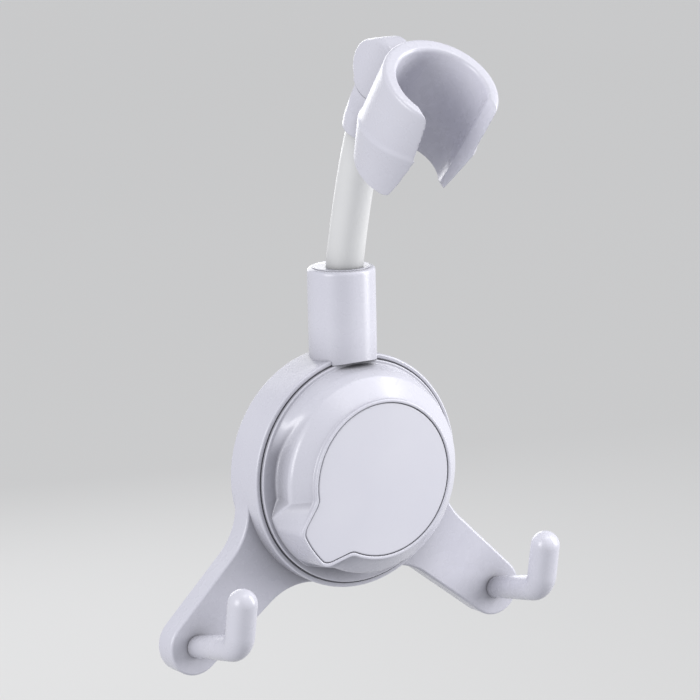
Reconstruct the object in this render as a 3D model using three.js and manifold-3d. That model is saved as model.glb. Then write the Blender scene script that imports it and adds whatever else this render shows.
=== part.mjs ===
// Shower head holder: a suction base with a turn-to-lock knob and two hooks, and a bendable arm that
// carries a tilting cradle. Millimetres, +Z up. The wall is the plane y = 0 and the front faces -Y.
// A depth is a distance from the wall towards the front.
import * as THREE from 'three';
import { mergeVertices } from 'three/addons/utils/BufferGeometryUtils.js';
import Module from 'manifold-3d';

const wasm = await Module();
wasm.setup();

// Fits
const GAP = 0.3; // between pieces that move or nest
const SEAT = 0.1; // between a piece and the flat face it sits on
const SCREW_FIT = 0.2; // between a screw and its hole
const OVERSHOOT = 1; // how far a cut runs past what it cuts

// Base disc
const WALL_GAP = 3.2; // wall to the back edge of the base
const BASE_R = 37.4;
const BASE_DEPTH = 15.0;
const BASE_SIDE = 2.4; // side wall round the rear cavity
const BASE_EDGE = 0.9; // rounding of the front rim
const RIM_WIDTH = 1.3; // front rim round the knob
const WEB = 2.0; // cross wall between the knob and the cup
const KNOB_POCKET = 4.0; // depth of the front pocket

// Hook arms of the base
const ARM_REACH = 74.7; // base centre to hook
const ARM_DROP = 40.6; // degrees below level
const ARM_SETBACK = 1.4; // arms' back edge in front of the disc's
const ARM_DEPTH = 7.6;
const ARM_END_R = 9.4;
const ARM_TAPER = 3.4; // degrees, each side
const ARM_FILLET = 21;
const ARM_EDGE = 1.2;
const ARM_SKIN = 2.2; // wall of the hollow back
const RIB = 1.8;

// Hooks
const HOOK_R = 4.65;
const HOOK_STEM = 25.6; // arm face to the elbow, along the stem
const HOOK_CLIMB = 11.75; // degrees the stem climbs
const HOOK_UPRIGHT = 19.5; // elbow to the tip
const HOOK_LEAN = 10.5; // degrees the upright leans forward
const HOOK_STEM_ROOT_R = 3.5;
const HOOK_STEM_END_R = 4.2;
const HOOK_SPIGOT_R = 2.7;
const HOOK_SPIGOT = 4.6;
const HOOK_BOSS_R = 5.6;
const HOOK_SCREW_R = 1.2;
const HOOK_SCREW_HEAD_R = 2.4;
const HOOK_SCREW_HEAD = 1.4;
const HOOK_SCREW_LENGTH = 7.5;

// Socket for the bendable arm
const SOCKET_R = 10.7;
const SOCKET_CLEAR = 0.9; // socket to wall
const SOCKET_RISE = 26.8; // top of the socket above the base disc's edge
const SOCKET_EDGE = 1.3;
const SOCKET_BORE_R = 8.0;
const SOCKET_FLOOR = 0.6; // above the base disc's edge
const SOCKET_SCREW_R = 1.25;
const SOCKET_SCREW_RISE = 2.6; // above the socket's floor

// Suction cup
const CUP_R = 34.2;
const CUP_LIP = 1.4; // thickness at the lip
const CUP_RING = 6.5; // width of the flat contact ring
const CUP_DISH = 1.2; // hollow at the centre
const CUP_SKIN = 2.2; // membrane behind the stud
const CUP_BOSS_R = 10;
const CUP_BOSS_LIP = 1.5; // lip that holds the stud's flange

// Pull stud
const STUD_FLANGE_R = 7.5;
const STUD_FLANGE = 1.7;
const STUD_SIDE = 8; // square shank
const STUD_NECK_R = 3.6;
const STUD_SHOULDER = 17; // depth where the shank ends
const STUD_SCREW_R = 1.5;
const STUD_SCREW_LENGTH = 9;
const STUD_SCREW_HEAD_R = 3.3;
const STUD_SCREW_HEAD = 2.2;
const WASHER_R = 6.2;
const WASHER = 1.0;

// Lock cam: rising teeth on the web, and matching teeth inside the knob
const CAM_TEETH = 3;
const CAM_INNER_R = 12;
const CAM_OUTER_R = 16;
const CAM_FOOT = 1.0;
const CAM_RISE = 4.8; // over one tooth
const CAM_SLACK = 1.5; // degrees between the teeth's stop faces

// Knob
const KNOB_GROOVE = 0.6; // ring gap to the base's rim
const KNOB_TOP = 33.6; // depth of the raised rim
const KNOB_LIP = 1.2; // flat lip at the foot of the dome
const KNOB_LIP_RISE = 1.0; // lip in front of the base's rim
const KNOB_ROUND = 0.5;
const KNOB_BEAD = 0.6; // height of the raised rim above the bevel
const KNOB_SKIN = 2.2;
const KNOB_SKIRT = 2.0;
const PANEL_IN = 11.4; // knob's edge to the panel's round part
const PANEL_GAP = 0.45;
const PANEL_INSET = 0.3; // panel face behind the raised rim
const PANEL = 1.4;
const PANEL_RIM = 1.3; // raised rim round the panel
const TAB_ANGLE = 214.9; // degrees, seen from the front
const TAB_IN = 3.3; // knob's edge to the end of the panel's tab
const TAB_ROOT = 20.8; // width at the circle
const TAB_END = 13.4;
const SCOOP_SPAN = 62; // degrees of each finger scoop beside the tab
const RIDGE_OUT = 5.8; // raised rim to the ridge where the dome's bevel ends
const RIDGE_DROP = 6.4; // raised rim's face to that ridge
const SCOOP_WALL = 0.4; // how far the scoop's wall leans out
const SCOOP_FLOOR = 1.9; // scoop floor in front of the lip, at its wall
const SCOOP_TUCK = 9.2; // degrees that the scoop runs on under the tab's flank
const SCOOP_TUCKED = 0.9; // how far the flank covers it there
const SCOOP_FADE = 0.35; // share of a scoop's span that keeps its full depth
const DOME_CURVE = 1.5; // how the dome falls from its bevel to the lip
const HUB_R = 8.5;
const HUB_FLOOR = 2.0;
const HUB_WELL_R = 6.9;
const HUB_WELL = 4.6;

// Bendable arm
const SLEEVE_R = 5.9;
const SLEEVE_BORE_R = 2.8;
const CORE_R = 2.5;
const ARM_FORWARD = 14.3; // socket axis to the arm's upper end
const ARM_RISE = 42.4; // socket top to the arm's upper end
const ARM_LEAN = 24.5; // degrees at the upper end
const ARM_START = 14.2; // bend starts this far below the socket's top
const ARM_START_PULL = 13; // how long the curve keeps its first direction
const ARM_END_PULL = 12;
const PLUG_R = 7.7;
const PLUG_GROOVE = 1.5; // depth of the retaining groove
const PLUG_GROOVE_WIDTH = 3.0;
const PLUG_CUP = 3.6; // length of sleeve held
const RING_R = 0.7; // O-ring section
const FERRULE_R = 5.5;
const FERRULE = 1.6;

// Arm tip
const COLLAR_START = 2.3; // arm's upper end to the collar's rim
const COLLAR_R = 7.6;
const COLLAR_NECK_R = 6.5;
const COLLAR_EDGE = 1.3; // rounding of the collar's rim
const COLLAR_SWELL = 0.3; // from the rounded rim to the widest place
const COLLAR_WIDEST = 3.9; // collar's rim to its widest place
const COLLAR_HOLD = 5.7; // length of sleeve held
const COLLAR_NECK = 14.6; // collar's rim to the neck
const PIVOT_ALONG = 24.2; // arm's upper end to the pivot
const TONGUE = 3.2;
const TONGUE_R = 5.2;

// Cradle
const CRADLE_LEAN = 39.4; // degrees forward
const CRADLE_HEIGHT = 37.2;
const CRADLE_R = 18.4;
const CRADLE_FOOT_R = 14.5;
const CRADLE_BACKSET = 0.8; // wall's axis behind the bore's
const CRADLE_WAIST = 21; // rim to the step
const CRADLE_STEP = 0.3;
const CRADLE_EDGE = 1.6;
const BORE_RIM_R = 14.5;
const BORE_FOOT_R = 12.3;
const BORE_EDGE = 1.0;
const SLOT_FOOT = 9.9; // half width of the hose slot at the foot
const SLOT_WAIST = 10.3;
const SLOT_RIM = 12.0;
const SLOT_ROUND = 2.4; // rounding where the slot meets the rim
const LUG = 9.0; // width across the lug
const LUG_R = 9.3; // round end at the pivot
const LUG_CREST_R = 8.8; // round crest that runs into the wall
const LUG_CREST_AHEAD = 2.5; // crest in front of the pivot
const LUG_CREST_RISE = 3.7; // crest above the pivot
const LUG_EDGE = 1.5;
const LUG_PIVOT_BACK = 26.5; // bore axis to the pivot
const LUG_PIVOT_DROP = 20.1; // rim to the pivot
const TILT_UP = 50; // degrees the cradle can tilt up
const TILT_SCREW_R = 1.8;
const TILT_HEAD_R = 3.4;
const TILT_HEAD = 1.8;
const FRICTION_R = 4.6; // friction washers beside the tongue
const FRICTION = 0.4;
const TILT_SKIN = 0.8; // left in front of the screw's blind hole

// Facets
const ROUND_LARGE = 48;
const ROUND_MEDIUM = 28;
const ROUND_SMALL = 16;
const ROUND_HOOK = 20;
const ARC_STEPS = 6; // half the segments of an arc in an outline
const CAM_STEPS = 6; // along one tooth
const DOME_STEPS = 5; // over a hook's round tip
const RING_SIDES = 8; // round the O-ring's section
const SWEEP_STEPS = 18; // along the bendable arm
const SLEEVE_SIDES = 9; // half the sides of the sleeve
const CORE_SIDES = 5; // half the sides of the core
const BEVEL_STEPS = 2;
const FLANK_STEPS = 6; // across one flank of the knob's tab
const DOME_SECTIONS = 24; // round half of the knob outside its tab
const PANEL_ARCS = { curveSegments: 12 };
const EDGE_KNEE = 0.3; // middle of a rounded edge, as a share of its size
const HEAD_TOP = 0.7; // top of a screw's head, as a share of its radius
const MERGE = 1e-4;
const DOUBLED = 0.01; // points closer than this are one point

// Places that follow from the sizes
const DEG = Math.PI / 180;
const BASE_FRONT = WALL_GAP + BASE_DEPTH;
const WEB_FRONT = BASE_FRONT - KNOB_POCKET;
const WEB_BACK = WEB_FRONT - WEB;
const POCKET_R = BASE_R - RIM_WIDTH;
const CAVITY_R = BASE_R - BASE_SIDE;
const ARM_BACK = WALL_GAP + ARM_SETBACK;
const ARM_FRONT = ARM_BACK + ARM_DEPTH;
const HOOK_X = ARM_REACH * Math.cos(ARM_DROP * DEG);
const HOOK_Z = -ARM_REACH * Math.sin(ARM_DROP * DEG);
const SOCKET_DEPTH = SOCKET_R + SOCKET_CLEAR;
const SOCKET_TOP = BASE_R + SOCKET_RISE;
const SOCKET_FLOOR_Z = BASE_R + SOCKET_FLOOR;
const STUD_FLANGE_BACK = CUP_DISH + CUP_SKIN + GAP;
const STUD_FLANGE_FRONT = STUD_FLANGE_BACK + STUD_FLANGE;
const CUP_BOSS_FRONT = STUD_FLANGE_FRONT + GAP + CUP_BOSS_LIP;
const KNOB_R = POCKET_R - KNOB_GROOVE;
const PANEL_R = KNOB_R - PANEL_IN;
const TAB_END_R = KNOB_R - TAB_IN;
const KNOB_LIP_TOP = BASE_FRONT + KNOB_LIP_RISE;
const PANEL_FRONT = KNOB_TOP - PANEL_INSET;
const PANEL_BACK = PANEL_FRONT - PANEL;
const PANEL_FLOOR = PANEL_BACK - SEAT;
const KNOB_CEILING = PANEL_FLOOR - KNOB_SKIN;
const WELL_FLOOR = PANEL_FLOOR - HUB_WELL;
const STUD_TIP = WELL_FLOOR + SEAT;
const WASHER_BACK = STUD_TIP + SEAT;
const STUD_SCREW_SEAT = WASHER_BACK + WASHER + SEAT;
const SLEEVE_FIT_R = SLEEVE_R + GAP;
const PIVOT_BORE_R = TILT_SCREW_R + SCREW_FIT;
const SLOT_SIDE = TONGUE / 2 + FRICTION + 2 * SEAT;

// Materials
const MATERIALS = {
  abs: { color: 0xe4e3ea, roughness: 0.32, metalness: 0 },
  sleeve: { color: 0xf3f3f2, roughness: 0.38, metalness: 0 },
  soft: { color: 0xc9cdd2, roughness: 0.3, metalness: 0 },
  nylon: { color: 0xdedcd4, roughness: 0.5, metalness: 0 },
  rubber: { color: 0x2a2a2c, roughness: 0.7, metalness: 0 },
  steel: { color: 0xb9bcc0, roughness: 0.3, metalness: 1 },
  aluminium: { color: 0xc3c6ca, roughness: 0.4, metalness: 1 },
  brass: { color: 0xb79a55, roughness: 0.35, metalness: 1 },
};

// Twice the signed volume of one triangle seen from the origin
function facing(position, a, b, c) {
  const p = new THREE.Vector3().fromBufferAttribute(position, a);
  const q = new THREE.Vector3().fromBufferAttribute(position, b);
  const r = new THREE.Vector3().fromBufferAttribute(position, c);
  return p.dot(q.cross(r));
}

// A closed geometry as a solid with its faces pointing out
function solid(geometry) {
  geometry.deleteAttribute('normal');
  geometry.deleteAttribute('uv');
  const merged = mergeVertices(geometry, MERGE);
  const position = merged.attributes.position;
  const index = merged.index.array;
  const triangles = [];
  let volume = 0;
  for (let i = 0; i < index.length; i += 3) {
    const [a, b, c] = [index[i], index[i + 1], index[i + 2]];
    if (a === b || b === c || c === a) continue;
    triangles.push([a, b, c]);
    volume += facing(position, a, b, c);
  }
  const outward = volume < 0 ? triangles.map(([a, b, c]) => [a, c, b]) : triangles;
  const triVerts = Uint32Array.from(outward.flat());
  const vertProperties = Float32Array.from(position.array);
  return new wasm.Manifold(new wasm.Mesh({ numProp: 3, vertProperties, triVerts }));
}

// Revolved solids: a profile is a list of [radius, place along the axis]
function lathe(profile, segments) {
  return new THREE.LatheGeometry(profile.map(([r, t]) => new THREE.Vector2(r, t)), segments);
}

// About the base's axis, with places as depths
function turned(profile, segments = ROUND_LARGE) {
  return solid(lathe(profile.map(([r, depth]) => [r, -depth]), segments));
}

// About an upright axis
function turnedUp(profile, segments = ROUND_MEDIUM) {
  return solid(lathe(profile, segments).rotateX(Math.PI / 2));
}

// About an axis along X
function turnedAcross(profile, segments = ROUND_SMALL) {
  return solid(lathe(profile, segments).rotateZ(-Math.PI / 2));
}

// A plain round bar or disc as a profile
function bar(radius, from, to) {
  return [[0, from], [radius, from], [radius, to], [0, to]];
}

// A ring as a closed profile
function ring(inner, outer, from, to) {
  return [[inner, from], [outer, from], [outer, to], [inner, to], [inner, from]];
}

// The outline of a shape without doubled points
function outline(shape, curveSegments) {
  const points = shape.getPoints(curveSegments);
  const next = (i) => points[(i + 1) % points.length];
  return new THREE.Shape(points.filter((point, i) => point.distanceTo(next(i)) > DOUBLED));
}

function extrude(shape, depth, curveSegments, bevel) {
  return new THREE.ExtrudeGeometry(outline(shape, curveSegments), {
    depth,
    bevelEnabled: bevel > 0,
    bevelSize: bevel,
    bevelThickness: bevel,
    bevelOffset: -bevel,
    bevelSegments: BEVEL_STEPS,
  });
}

// A shape drawn in x and z, extruded from one depth to another; a bevel rounds both ends
function frontPlate(shape, from, to, { curveSegments = ARC_STEPS, bevel = 0 } = {}) {
  const geometry = extrude(shape, to - from - 2 * bevel, curveSegments, bevel);
  geometry.translate(0, 0, from + bevel);
  return solid(geometry.rotateX(Math.PI / 2));
}

// A shape drawn in y and z, extruded across X about the middle
function sidePlate(shape, width, { curveSegments = ARC_STEPS, bevel = 0 } = {}) {
  const geometry = extrude(shape, width - 2 * bevel, curveSegments, bevel);
  geometry.translate(0, 0, bevel - width / 2);
  const turn = new THREE.Matrix4().makeBasis(
    new THREE.Vector3(0, 1, 0), new THREE.Vector3(0, 0, 1), new THREE.Vector3(1, 0, 0));
  return solid(geometry.applyMatrix4(turn));
}

// A box given by its low and high corners
function box(low, high) {
  const size = high.map((value, i) => value - low[i]);
  const geometry = new THREE.BoxGeometry(...size);
  return solid(geometry.translate(...low.map((value, i) => value + size[i] / 2)));
}

// A solid swept through loops of points; a closed sweep joins its last loop to its first
function loft(loops, closed) {
  const count = loops[0].length;
  const points = loops.flat();
  const index = [];
  const steps = closed ? loops.length : loops.length - 1;
  for (let i = 0; i < steps; i += 1) {
    const here = i * count;
    const next = ((i + 1) % loops.length) * count;
    for (let j = 0; j < count; j += 1) {
      const k = (j + 1) % count;
      index.push(here + j, next + j, next + k);
      index.push(here + j, next + k, here + k);
    }
  }
  if (!closed) {
    const last = (loops.length - 1) * count;
    for (let j = 1; j < count - 1; j += 1) {
      index.push(0, j, j + 1);
      index.push(last, last + j + 1, last + j);
    }
  }
  const geometry = new THREE.BufferGeometry().setFromPoints(points);
  geometry.setIndex(index);
  return solid(geometry);
}

// A point on the front view's polar grid
function polar(radius, angle, depth) {
  return new THREE.Vector3(radius * Math.cos(angle), -depth, radius * Math.sin(angle));
}

// A point on a circle, for drawing a shape
function onCircle(radius, angle) {
  return [radius * Math.cos(angle), radius * Math.sin(angle)];
}

function union(first, ...rest) {
  return rest.reduce((sum, body) => sum.add(body), first);
}

function cut(first, ...rest) {
  return rest.reduce((left, body) => left.subtract(body), first);
}

// Adds a solid to a group as a named mesh
function piece(group, name, body, material) {
  const { vertProperties, triVerts } = body.getMesh();
  const geometry = new THREE.BufferGeometry();
  geometry.setAttribute('position', new THREE.BufferAttribute(Float32Array.from(vertProperties), 3));
  geometry.setIndex(new THREE.BufferAttribute(Uint32Array.from(triVerts), 1));
  geometry.computeVertexNormals();
  const mesh = new THREE.Mesh(geometry, new THREE.MeshStandardMaterial(MATERIALS[material]));
  mesh.name = name;
  group.add(mesh);
}

// Where a line from p along the unit direction d leaves the circle of the given radius
function leavesCircle(p, d, radius) {
  const along = p.dot(d);
  const reach = Math.sqrt(along * along - p.lengthSq() + radius * radius);
  return p.clone().addScaledVector(d, reach - along);
}

// Outline of one hook arm: a round end, tapering sides and hollow fillets into the disc
function armShape(endR, discR, filletR, direction) {
  const taper = ARM_TAPER * DEG;
  const normal = new THREE.Vector2(Math.sin(taper), Math.cos(taper));
  const inward = new THREE.Vector2(-Math.cos(taper), Math.sin(taper));
  const touch = new THREE.Vector2(ARM_REACH, 0).addScaledVector(normal, endR);
  const start = touch.clone().addScaledVector(normal, filletR);
  const reach = discR + filletR;
  const along = start.dot(inward);
  const run = -along - Math.sqrt(along * along - start.lengthSq() + reach * reach);
  const fillet = start.clone().addScaledVector(inward, run);
  const centre = new THREE.Vector2();
  const at = (x, y) => new THREE.Vector2(x, y).rotateAround(centre, direction);
  const upper = at(fillet.x, fillet.y);
  const lower = at(fillet.x, -fillet.y);
  const end = at(ARM_REACH, 0);
  const side = Math.PI / 2 - taper;
  const flank = Math.PI / 2 + taper;
  const toDisc = Math.atan2(-fillet.y, -fillet.x);
  const shape = new THREE.Shape();
  shape.moveTo(0, 0);
  shape.lineTo(lower.x * discR / reach, lower.y * discR / reach);
  shape.absarc(lower.x, lower.y, filletR, direction - toDisc, direction + flank, true);
  shape.absarc(end.x, end.y, endR, direction - side, direction + side, false);
  shape.absarc(upper.x, upper.y, filletR, direction - flank, direction + toDisc, true);
  shape.closePath();
  return shape;
}

// Rising cam teeth between two depths as a function of the angle inside a tooth, from 0 to 1
function camTeeth(backAt, frontAt, turn) {
  const span = 2 * Math.PI / CAM_TEETH;
  const teeth = [];
  for (let tooth = 0; tooth < CAM_TEETH; tooth += 1) {
    const loops = [];
    for (let i = 0; i <= CAM_STEPS; i += 1) {
      const share = i / CAM_STEPS;
      const angle = turn + (tooth + share) * span;
      loops.push([
        polar(CAM_INNER_R, angle, backAt(share)),
        polar(CAM_OUTER_R, angle, backAt(share)),
        polar(CAM_OUTER_R, angle, frontAt(share)),
        polar(CAM_INNER_R, angle, frontAt(share)),
      ]);
    }
    teeth.push(loft(loops, false));
  }
  return union(...teeth);
}

// Depth of the base's cam face at a share of a tooth
function camFace(share) {
  return WEB_FRONT + CAM_FOOT + CAM_RISE * (1 - share);
}

// Sides of the base where the two hooks sit, seen from the front
const SIDES = [
  { name: 'left', sign: -1, direction: Math.PI + ARM_DROP * DEG },
  { name: 'right', sign: 1, direction: -ARM_DROP * DEG },
];

// Hollow back of one hook arm, left open round the hook's boss and a rib
function armHollow({ sign, direction }) {
  const inner = armShape(ARM_END_R - ARM_SKIN, BASE_R - ARM_SKIN, ARM_FILLET + ARM_SKIN, direction);
  const hollow = frontPlate(inner, 0, ARM_FRONT - ARM_SKIN);
  const disc = turned(bar(BASE_R, -SEAT, BASE_FRONT));
  const boss = turned(bar(HOOK_BOSS_R, -SEAT, BASE_FRONT), ROUND_SMALL);
  const rib = new THREE.BoxGeometry(ARM_REACH, BASE_FRONT, RIB);
  rib.translate(ARM_REACH / 2, -BASE_FRONT / 2 - ARM_BACK - RIB, 0);
  return cut(hollow, disc, boss.translate([sign * HOOK_X, 0, HOOK_Z]), solid(rib.rotateY(-direction)));
}

function baseBody() {
  const disc = turned([
    [0, WALL_GAP],
    [BASE_R, WALL_GAP],
    [BASE_R, BASE_FRONT - BASE_EDGE],
    [BASE_R - BASE_EDGE * EDGE_KNEE, BASE_FRONT - BASE_EDGE * EDGE_KNEE],
    [BASE_R - BASE_EDGE, BASE_FRONT],
    [0, BASE_FRONT],
  ]);
  const wide = 2 * ARM_REACH;
  const behind = box([-wide, -ARM_BACK, -wide], [wide, ARM_FRONT, wide]);
  const arms = SIDES.map(({ direction }) => {
    const shape = armShape(ARM_END_R, BASE_R, ARM_FILLET, direction);
    return cut(frontPlate(shape, 0, ARM_FRONT, { bevel: ARM_EDGE }), behind);
  });
  const socket = turnedUp([
    [0, 0],
    [SOCKET_R, 0],
    [SOCKET_R, SOCKET_TOP - SOCKET_EDGE],
    [SOCKET_R - SOCKET_EDGE * EDGE_KNEE, SOCKET_TOP - SOCKET_EDGE * EDGE_KNEE],
    [SOCKET_R - SOCKET_EDGE, SOCKET_TOP],
    [0, SOCKET_TOP],
  ]).translate([0, -SOCKET_DEPTH, 0]);
  const bore = turnedUp(bar(SOCKET_BORE_R, SOCKET_FLOOR_Z, SOCKET_TOP + OVERSHOOT))
    .translate([0, -SOCKET_DEPTH, 0]);
  const cavity = turned(bar(CAVITY_R, -WALL_GAP, WEB_BACK));
  const clearance = turned(bar(BASE_R, -WALL_GAP, WALL_GAP));
  const pocket = turned(bar(POCKET_R, WEB_FRONT, 2 * BASE_FRONT));
  const half = STUD_SIDE / 2 + GAP;
  const keyway = box([-half, -BASE_FRONT, -half], [half, 0, half]);
  const screwHole = turned(bar(SOCKET_SCREW_R + SCREW_FIT, -WALL_GAP, SOCKET_DEPTH), ROUND_SMALL)
    .translate([0, 0, SOCKET_FLOOR_Z + SOCKET_SCREW_RISE]);
  const spigotHoles = SIDES.map(({ sign }) => {
    const hole = turned(bar(HOOK_SPIGOT_R + SEAT, ARM_FRONT - HOOK_SPIGOT - SEAT, BASE_FRONT), ROUND_SMALL);
    const through = turned(bar(HOOK_SCREW_R + SCREW_FIT, 0, BASE_FRONT), ROUND_SMALL);
    return hole.add(through).translate([sign * HOOK_X, 0, HOOK_Z]);
  });
  const screwSeats = SIDES.map(({ sign }) => {
    const seat = turned(bar(HOOK_SCREW_HEAD_R + GAP, 0, ARM_BACK + HOOK_SCREW_HEAD + SEAT), ROUND_SMALL);
    return seat.translate([sign * HOOK_X, 0, HOOK_Z]);
  });
  const shell = cut(union(disc, ...arms, socket), cavity, clearance, pocket, bore, keyway, screwHole);
  const hollowed = cut(shell, ...SIDES.map(armHollow), ...spigotHoles, ...screwSeats);
  const cam = camTeeth(() => WEB_FRONT - WEB / 2, camFace, 0);
  return hollowed.add(cam);
}

// One hook: a spigot in the arm, a climbing stem and a round upright that leans forward
function hook(sign) {
  const climb = HOOK_CLIMB * DEG;
  const root = [0, -ARM_FRONT, 0];
  const elbow = [0, -ARM_FRONT - HOOK_STEM * Math.cos(climb), HOOK_STEM * Math.sin(climb)];
  const face = ARM_FRONT + SEAT;
  const overlap = HOOK_STEM_ROOT_R / 2;
  const stem = turned([
    [0, -overlap],
    [HOOK_STEM_ROOT_R, -overlap],
    [HOOK_STEM_ROOT_R, 0],
    [HOOK_STEM_END_R, HOOK_STEM],
    [0, HOOK_STEM],
  ], ROUND_HOOK).rotate([-HOOK_CLIMB, 0, 0]).translate(root);
  const behind = box([-BASE_R, -face, -BASE_R], [BASE_R, BASE_R, BASE_R]);
  const spigot = turned(bar(HOOK_SPIGOT_R, ARM_FRONT - HOOK_SPIGOT, face + overlap), ROUND_SMALL);
  const upright = turnedUp([
    [0, 0],
    [HOOK_R, 0],
    ...domeProfile(HOOK_R, HOOK_UPRIGHT - HOOK_R),
  ], ROUND_HOOK).rotate([HOOK_LEAN, 0, 0]).translate(elbow);
  const knee = solid(new THREE.SphereGeometry(HOOK_R, ROUND_HOOK, ROUND_HOOK / 2).rotateX(Math.PI / 2));
  const screwTip = ARM_BACK + HOOK_SCREW_HEAD + HOOK_SCREW_LENGTH + GAP;
  const screwHole = turned(bar(HOOK_SCREW_R + SCREW_FIT, 0, screwTip), ROUND_SMALL);
  const body = union(cut(stem, behind), spigot, upright, knee.rotate([HOOK_LEAN, 0, 0]).translate(elbow));
  return cut(body, screwHole).translate([sign * HOOK_X, 0, HOOK_Z]);
}

// A round top as profile points, from the side up to the axis
function domeProfile(radius, base) {
  const points = [];
  for (let i = 0; i <= DOME_STEPS; i += 1) {
    const angle = i / DOME_STEPS * Math.PI / 2;
    points.push([i === DOME_STEPS ? 0 : radius * Math.cos(angle), base + radius * Math.sin(angle)]);
  }
  return points;
}

// A screw pointing to the front, with its head at the back
function hookScrew(sign) {
  const head = ARM_BACK + HOOK_SCREW_HEAD;
  return turned([
    [0, ARM_BACK],
    [HOOK_SCREW_HEAD_R, ARM_BACK],
    [HOOK_SCREW_HEAD_R, head],
    [HOOK_SCREW_R, head],
    [HOOK_SCREW_R, head + HOOK_SCREW_LENGTH],
    [0, head + HOOK_SCREW_LENGTH],
  ], ROUND_SMALL).translate([sign * HOOK_X, 0, HOOK_Z]);
}

// Soft cup: a flat ring on the wall, a shallow dish and a boss that holds the stud
function suctionCup() {
  const ringR = CUP_R - CUP_RING;
  const membrane = CUP_DISH + CUP_SKIN;
  return turned([
    [0, CUP_DISH],
    [CUP_BOSS_R, CUP_DISH],
    [ringR, 0],
    [CUP_R, 0],
    [CUP_R, CUP_LIP],
    [ringR, CUP_LIP + CUP_DISH],
    [CUP_BOSS_R, membrane + STUD_FLANGE],
    [CUP_BOSS_R, CUP_BOSS_FRONT],
    [STUD_SIDE / Math.SQRT2 + GAP, CUP_BOSS_FRONT],
    [STUD_SIDE / Math.SQRT2 + GAP, STUD_FLANGE_FRONT + GAP],
    [STUD_FLANGE_R + GAP, STUD_FLANGE_FRONT + GAP],
    [STUD_FLANGE_R + GAP, membrane],
    [0, membrane],
  ]);
}

// Stud that pulls the cup: flange, square shank and round neck with a screw hole
function pullStud() {
  const half = STUD_SIDE / 2;
  const flange = turned(bar(STUD_FLANGE_R, STUD_FLANGE_BACK, STUD_FLANGE_FRONT), ROUND_MEDIUM);
  const shank = box([-half, -STUD_SHOULDER, -half], [half, -STUD_FLANGE_BACK, half]);
  const neck = turned(bar(STUD_NECK_R, STUD_FLANGE_BACK, STUD_TIP), ROUND_SMALL);
  const hole = turned(bar(STUD_SCREW_R + SCREW_FIT, STUD_SCREW_SEAT - STUD_SCREW_LENGTH - GAP, KNOB_TOP),
    ROUND_SMALL);
  return cut(union(flange, shank, neck), hole);
}

function studWasher() {
  return turned(ring(STUD_SCREW_R + SCREW_FIT, WASHER_R, WASHER_BACK, WASHER_BACK + WASHER), ROUND_SMALL);
}

function studScrew() {
  const head = STUD_SCREW_SEAT + STUD_SCREW_HEAD;
  return turned([
    [0, STUD_SCREW_SEAT - STUD_SCREW_LENGTH],
    [STUD_SCREW_R, STUD_SCREW_SEAT - STUD_SCREW_LENGTH],
    [STUD_SCREW_R, STUD_SCREW_SEAT],
    [STUD_SCREW_HEAD_R, STUD_SCREW_SEAT],
    [STUD_SCREW_HEAD_R, head - STUD_SCREW_HEAD / 2],
    [STUD_SCREW_HEAD_R * HEAD_TOP, head],
    [0, head],
  ], ROUND_SMALL);
}

// One side of the tab, grown outwards: a point, a direction, and the angles where it meets the circles
function tabSide(grow) {
  const rootU = Math.sqrt(PANEL_R ** 2 - TAB_ROOT ** 2 / 4);
  const endU = Math.sqrt(TAB_END_R ** 2 - TAB_END ** 2 / 4);
  const along = new THREE.Vector2(endU - rootU, (TAB_END - TAB_ROOT) / 2).normalize();
  const point = new THREE.Vector2(rootU, TAB_ROOT / 2);
  point.addScaledVector(new THREE.Vector2(-along.y, along.x), grow);
  const shoulder = leavesCircle(point, along, PANEL_R + grow).angle();
  const corner = leavesCircle(point, along, TAB_END_R + grow).angle();
  return { point, along, shoulder, corner };
}

// Outline of the knob's panel, grown outwards: a circle with a tapering tab
function panelShape(grow) {
  const direction = TAB_ANGLE * DEG;
  const { shoulder, corner } = tabSide(grow);
  const end = TAB_END_R + grow;
  const bulge = onCircle(end / Math.cos(corner), direction);
  const shape = new THREE.Shape();
  shape.moveTo(...onCircle(end, direction - corner));
  shape.quadraticCurveTo(...bulge, ...onCircle(end, direction + corner));
  shape.lineTo(...onCircle(PANEL_R + grow, direction + shoulder));
  shape.absarc(0, 0, PANEL_R + grow, direction + shoulder, direction + 2 * Math.PI - shoulder, false);
  shape.closePath();
  return shape;
}

// Radius of that outline at an angle from the tab's middle
function panelRadius(away, grow) {
  const { point, along, shoulder, corner } = tabSide(grow);
  if (away >= shoulder) return PANEL_R + grow;
  if (away <= corner) return TAB_END_R + grow;
  const ray = new THREE.Vector2(Math.cos(away), Math.sin(away));
  const run = -ray.cross(point) / ray.cross(along);
  return ray.dot(point.clone().addScaledVector(along, run));
}

// Strength of the finger scoops at an angle from the tab's middle: full beside the tab, then fading
function scoopAt(away) {
  const share = (away - tabSide(PANEL_RIM).shoulder) / (SCOOP_SPAN * DEG);
  return 1 - THREE.MathUtils.smoothstep(share, SCOOP_FADE, 1);
}

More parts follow.
